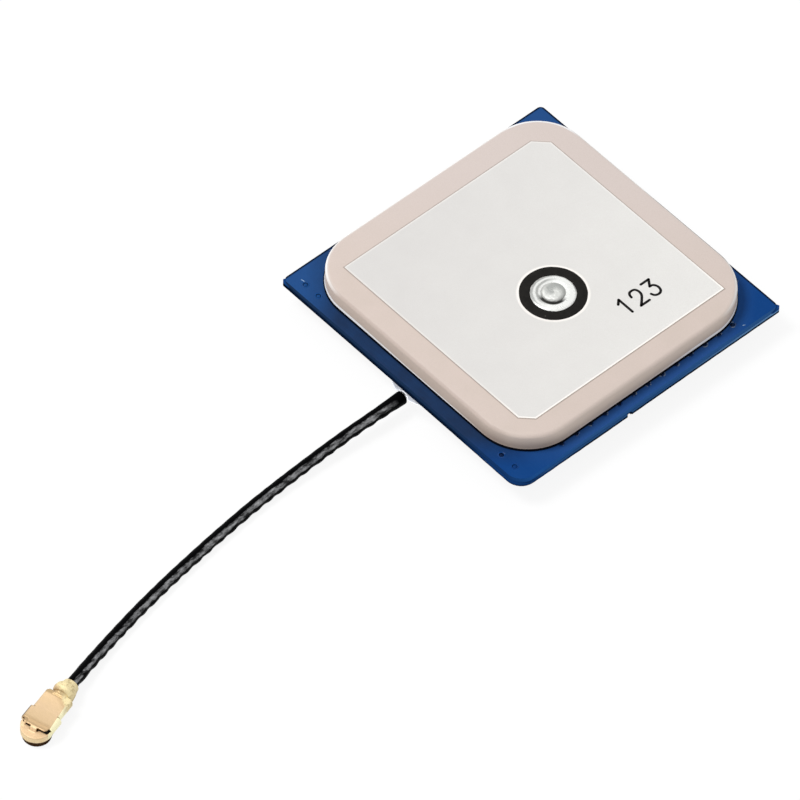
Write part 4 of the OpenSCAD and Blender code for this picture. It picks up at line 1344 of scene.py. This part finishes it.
class ANTENNA_OT_digits(bpy.types.Operator):
    """Stamps three plain digits in ink on the silver"""
    bl_idname = "antenna.digits"
    bl_label = "Digits"

    MIDDLES = [(6.76, 3.475), (6.76, 4.86), (6.76, 6.25)]
    # Pen strokes as points (along, across) in shares of the width and height of a digit
    STROKES = [
        [[(-0.34, 0.28), (0.06, 0.5)], [(0.06, 0.5), (0.06, -0.5)]],
        [
            [
                (-0.48, 0.2), (-0.42, 0.36), (-0.24, 0.48), (0.02, 0.5), (0.28, 0.46), (0.42, 0.32),
                (0.44, 0.14), (0.32, -0.04), (-0.1, -0.3), (-0.48, -0.5)
            ],
            [(-0.48, -0.5), (0.5, -0.5)]
        ],
        [
            [(-0.46, 0.5), (0.44, 0.5)], [(0.44, 0.5), (-0.04, 0.12)],
            [
                (-0.04, 0.12), (0.24, 0.1), (0.44, -0.03), (0.5, -0.2), (0.4, -0.4), (0.16, -0.5),
                (-0.14, -0.5), (-0.38, -0.42), (-0.5, -0.27)
            ]
        ]
    ]

    def execute(self, context):
        settings = context.scene.antenna_digits
        thick = 0.01 * MM
        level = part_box("patch_electrode")[1].z + thick * 0.3
        tall, wide = settings.height, settings.width
        lines = []
        for (x, y), strokes in zip(self.MIDDLES, self.STROKES):
            for stroke in strokes:
                points = [
                    Vector((x * MM - across * tall, y * MM + along * wide, level))
                    for along, across in stroke
                ]
                lines.append(smooth_route(points, 6) if len(points) > 2 else points)
        ink = plain_finish("ink", Specular_IOR_Level=0.1)
        mesh = run_tree(
            "digits", stroke_tree, line_object("digit_lines", lines), ink,
            {"Width": settings.stroke, "Thickness": thick, "Step": 0.05 * MM}
        )
        new_piece("digits", mesh, ink)
        return {"FINISHED"}


def remeshed(node, name, voxel, rounds):
    """The mesh of a node's solid in even faces, its edges eased by rounds of smoothing."""
    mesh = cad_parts[node].data.copy()
    form = bmesh.new()
    form.from_mesh(mesh)
    bmesh.ops.remove_doubles(form, verts=form.verts, dist=1e-7)
    form.to_mesh(mesh)
    form.free()
    carrier = linked_object(node + "_carrier", mesh)
    remesh = carrier.modifiers.new("voxels", "REMESH")
    remesh.mode = "VOXEL"
    remesh.voxel_size = voxel
    smooth = carrier.modifiers.new("smooth", "SMOOTH")
    smooth.factor = 0.5
    smooth.iterations = rounds
    return evaluated_mesh(carrier, name)


def flowed_copy(node, name, material, voxel, rounds, shaped=None):
    """A copy of a node's solid, remeshed and smoothed like metal that has flowed.

    shaped takes a point and its normal and gives the point where it is to lie.
    """
    mesh = remeshed(node, name, voxel, rounds)
    if shaped:
        moved = [shaped(vertex.co, vertex.normal) for vertex in mesh.vertices]
        for vertex, place in zip(mesh.vertices, moved):
            vertex.co = place
    mesh.shade_smooth()
    new_piece(name, mesh, material, [node])


class ANTENNA_OT_joints(bpy.types.Operator):
    """Flows the solder of the can, the pin's tail and the lead"""
    bl_idname = "antenna.joints"
    bl_label = "Solder joints"

    # Node, piece, voxel in millimetres and rounds of smoothing
    DULL_JOINTS = [
        ("can_solder", "can_joints", 0.06, 3), ("pin_solder", "pin_joint", 0.05, 2),
        ("core_solder", "core_joint", 0.05, 3)
    ]

    def execute(self, context):
        dull_and_dark_reflection = plain_finish("dull_solder")
        for node, name, voxel, rounds in self.DULL_JOINTS:
            flowed_copy(node, name, dull_and_dark_reflection, voxel * MM, rounds)
        pale = plain_finish("pale_solder")
        flowed_copy("braid_solder", "lead_joint", pale, 0.05 * MM, 3, self.off_jacket)
        return {"FINISHED"}

    def off_jacket(self, place, normal):
        """Solder at the end of the jacket stands just off it, and runs out along the board."""
        exit_x, exit_y = LEAD_EXIT_X * MM, LEAD_START_Y * MM
        clear = bpy.context.scene.antenna_lead.diameter * 0.6 + 0.08 * MM
        off = Vector((place.x - exit_x, place.z - LEAD_HEIGHT * MM))
        if off.length < clear and place.y < exit_y + 0.1 * MM:
            return Vector((place.x, exit_y + 0.1 * MM, place.z))
        if place.x > exit_x and place.y < -13.2 * MM:
            return Vector((place.x + (place.x - exit_x) * 0.25, place.y, place.z))
        return place


class ANTENNA_OT_can(bpy.types.Operator):
    """Gives the shield can its tinned sheet"""
    bl_idname = "antenna.can"
    bl_label = "Shield can"

    def execute(self, context):
        finish = Finish("tinned_sheet", metallic=0.85)
        rolled = finish.streaks(6, 0.05)
        clouded = finish.mottle(2).mix(paint(196, 198, 199), paint(178, 180, 182))
        stained = finish.specks(2.2, 0.12, 0.12).mix(clouded, paint(132, 130, 126))
        finish.set(Base_Color=stained, Roughness=rolled.spread(0.3, 0.7, 0.26, 0.5))
        finish.bump(rolled, 0.004)
        give_finish(finish.material, "shield_can")
        return {"FINISHED"}


class ANTENNA_OT_chips(bpy.types.Operator):
    """Gives the parts under the can their finishes"""
    bl_idname = "antenna.chips"
    bl_label = "Parts under the can"

    def execute(self, context):
        give_finish(plain_finish("moulding"), "first_amplifier", "second_amplifier")
        give_finish(plain_finish("saw_package"), "saw_filter")
        for node in ("capacitors", "resistors", "inductors"):
            give_finish(plain_finish(node + "_body"), node)
        return {"FINISHED"}


class ANTENNA_OT_plug(bpy.types.Operator):
    """Folds the plug's thin gold sheet, crimped by hand, and finishes what it holds"""
    bl_idname = "antenna.plug"
    bl_label = "Plug"

    WAVE_SEED = 11
    # What the shell holds: finish and node
    HELD = [
        ("plug_moulding", "plug_insulator"), ("contact_gold", "plug_contact"), ("braid", "coax_braid"),
        ("dielectric", "coax_dielectric"), ("lead_core", "coax_core")
    ]

    # Middle (across, behind the mouth, above the ground) and radius of each dimple, in millimetres
    DIMPLES = [
        ((0.05, 3.3, 1.72), 0.15), ((0.52, 3.45, 1.56), 0.16), ((0.52, 4.26, 1.59), 0.16),
        ((0.82, 3.71, 1.01), 0.16), ((0.09, 4.3, 1.77), 0.18), ((-0.12, 3.75, 1.8), 0.12)
    ]

    def execute(self, context):
        self.fold_shell(context.scene.antenna_plug)
        for finish, node in self.HELD:
            give_finish(plain_finish(finish), node)
        return {"FINISHED"}

    def fold_shell(self, settings):
        # noise_vector draws its offsets from the clock unless it is given a seed
        noise.seed_set(self.WAVE_SEED)
        mouth = Matrix.Translation((PLUG_AT[0] * MM, PLUG_AT[1] * MM, 0))
        from_mouth = mouth @ Matrix.Rotation(PLUG_TURN, 4, "Z")
        to_mouth = from_mouth.inverted()
        dimples = [(Vector(middle) * MM, radius * MM) for middle, radius in self.DIMPLES]

        def ease(value, low, high):
            share = min(1.0, max(0.0, (value / MM - low) / (high - low)))
            return share * share * (3 - 2 * share)

        def handled(place, normal):
            here = to_mouth @ place
            facing = to_mouth.to_3x3() @ normal
            # The cap is pressed up against the lid at the lid's front corner
            if facing.z > 0.3 and here.y < -0.1 * MM and 1.0 * MM < here.z < 1.3 * MM:
                pressed = ease(here.y, -0.6, -0.22) * ease(-here.x, 0.72, 0.86)
                here.z += 0.2 * MM * pressed
            if here.z > 1.3 * MM and here.y < 0.3 * MM:
                bent = (0.04 + 0.2 * ease(-here.x, 0.68, 0.85)) * (1 - ease(here.y, -0.2, 0.1))
                here.z -= bent * MM
            here.y += settings.drawn * ease(here.y, 1.6, 2.6) * (1 - ease(here.y, 2.6, 4.2))
            crimped = min(1.0, max(0.0, (here.y - 2.2 * MM) / (1.2 * MM)))
            waves = noise.noise_vector(here / (0.55 * MM)) * settings.waves * (0.1 + crimped)
            pushed = Vector()
            for middle, radius in dimples:
                share = (here - middle).length / radius
                outward = Vector((middle.x, 0, middle.z - PLUG_CORE_HEIGHT * MM)).normalized()
                if share < 2 and facing.dot(outward) > 0:
                    pushed -= outward * settings.dimple * math.exp(-(share ** 2) * 1.4)
            here = here + waves + pushed
            here.z = max(here.z, 0.0)
            return from_mouth @ here

        flowed_copy(
            "plug_shell", "folded_shell", self.gold_finish(settings), 0.036 * MM, 3, handled
        )

    def gold_finish(self, settings):
        finish = Finish("plug_gold")
        own = finish.wiring.node(
            "ShaderNodeMapping",
            {
                "Vector": finish.place, "Location": (PLUG_AT[0] * MM, PLUG_AT[1] * MM, 0.0),
                "Rotation": (0.0, 0.0, PLUG_TURN)
            },
            vector_type="TEXTURE"
        )[0]
        x, y, z = own.axes()
        rolled = finish.streaks(0.8, 0.03)
        cloud = finish.mottle(0.45)
        stray = finish.mottle(0.4, -0.1 * MM, 0.1 * MM)
        top = cloud.mix(settings.colour, paint(230, 202, 164))
        # Painted light makes the cap's upright side lighter, and painted shade darkens its left-facing
        # side
        side = cloud.mix(settings.side_colour, paint(246, 226, 186))
        facing_left = x.ramp(-0.5, -1.1, 0.0, 0.6)
        sides = facing_left.mix(side, paint(198, 172, 132))
        cap = z.ramp(1.08, 1.02).mix(top, sides)
        lid = cloud.mix(settings.lid_colour, paint(226, 196, 158))
        # Painted shade toward the lid's front edge, and painted light toward its rear
        graded = y.ramp(0.2, 1.4, 0.4, 0.0).mix(lid, paint(196, 168, 126))
        fronted = y.ramp(0.35, 0.05, 0.0, 0.7).mix(graded, paint(176, 148, 110))
        rear_lit = y.ramp(1.6, 2.8, 0.0, 0.8).mix(fronted, paint(238, 206, 162))
        back = y.math("GREATER_THAN", -0.3 * MM)
        on_lid = back * z.ramp(1.2, 1.3)
        lidded = on_lid.mix(cap, rear_lit)
        right = y.ramp(-0.3, 2.7, 1.14 * MM, 0.88 * MM)
        beyond = x.spread(right, right + 0.05 * MM)
        # The right wing's pale tone is painted light
        wing = cloud.mix(settings.wing_colour, paint(255, 248, 206))
        winged = (beyond * back).mix(lidded, wing)
        border = y + x * 0.8 + stray
        on_crimp = border.ramp(3.1, 3.25)
        crimp = cloud.mix(settings.worn_colour, paint(248, 230, 178))
        flecked = finish.mottle(0.35, 0.0, 1.0, 2.0).spread(0.64, 0.76, 0.0, 0.55).mix(
            crimp, paint(180, 160, 112)
        )
        # Painted shade on the slope just before the crimp
        behind = border.ramp(2.6, 2.9, 0.0, 0.35) * z.ramp(1.1, 1.2)
        rear_shaded = behind.mix(winged, paint(178, 152, 108))
        crimped = on_crimp.mix(rear_shaded, flecked)
        # Painted shade on the step from the lid to the barrel
        step = y.ramp(2.75, 2.87, 0.0, 0.7) * y.ramp(3.5, 3.3)
        fore = step * x.ramp(0.6, 0.2)
        painted_light = fore.mix(crimped, paint(168, 142, 98))
        # Painted shadow along the cap's lower edge, where metal and specular are taken away too
        dark_top = x.ramp(-1.1, 0.3, 0.3 * MM, 0.62 * MM)
        low_edge = z.spread(dark_top, dark_top - 0.06 * MM)
        shaded = low_edge.mix(painted_light, paint(66, 44, 28))
        # Painted shade along the plug's left rim
        left_rim = x.ramp(-1.22, -1.27) * y.ramp(0, 0.1)
        rimmed = left_rim.mix(shaded, paint(70, 48, 26))
        scuffed = rolled.spread(0.55, 0.8, 0.0, 0.25).mix(rimmed, paint(206, 180, 142))
        streaked = rolled.spread(0.3, 0.7, 0.4, 0.52)
        matt = streaked + y.ramp(0.3, 0, 0.0, 0.15)
        finish.set(
            Base_Color=scuffed, Roughness=matt + on_crimp * 0.15,
            Metallic=on_crimp.spread(0.0, 1.0, 0.65, 0.3) * (1.0 - low_edge),
            Specular_IOR_Level=low_edge.spread(0.0, 1.0, 0.5, 0.0)
        )
        finish.bump(rolled + finish.mottle(0.2), 0.004)
        return finish.material


class ANTENNA_PT_panel(bpy.types.Panel):
    """Lists the pieces of the antenna"""
    bl_idname = "ANTENNA_PT_panel"
    bl_label = "Patch antenna"
    bl_space_type = "VIEW_3D"
    bl_region_type = "UI"
    bl_category = "Antenna"

    def draw(self, context):
        for operator in OPERATORS:
            self.layout.operator(operator.bl_idname)


SETTINGS = {
    "antenna_stage": StageSettings, "antenna_lead": LeadSettings, "antenna_ceramic": CeramicSettings,
    "antenna_silver": SilverSettings, "antenna_feed": FeedSettings, "antenna_board": BoardSettings,
    "antenna_digits": DigitSettings, "antenna_plug": PlugSettings
}
OPERATORS = [
    ANTENNA_OT_stage, ANTENNA_OT_ceramic, ANTENNA_OT_silver, ANTENNA_OT_resist, ANTENNA_OT_feed,
    ANTENNA_OT_board, ANTENNA_OT_digits, ANTENNA_OT_joints, ANTENNA_OT_can, ANTENNA_OT_chips,
    ANTENNA_OT_plug, ANTENNA_OT_lead
]


def register():
    for made in (*SETTINGS.values(), *OPERATORS, ANTENNA_PT_panel):
        bpy.utils.register_class(made)
    for name, settings in SETTINGS.items():
        setattr(bpy.types.Scene, name, PointerProperty(type=settings))


def unregister():
    for name in SETTINGS:
        delattr(bpy.types.Scene, name)
    for made in reversed((*SETTINGS.values(), *OPERATORS, ANTENNA_PT_panel)):
        bpy.utils.unregister_class(made)


def main():
    register()
    for operator in OPERATORS:
        family, name = operator.bl_idname.split(".")
        getattr(getattr(bpy.ops, family), name)()


if __name__ == "__main__":
    main()
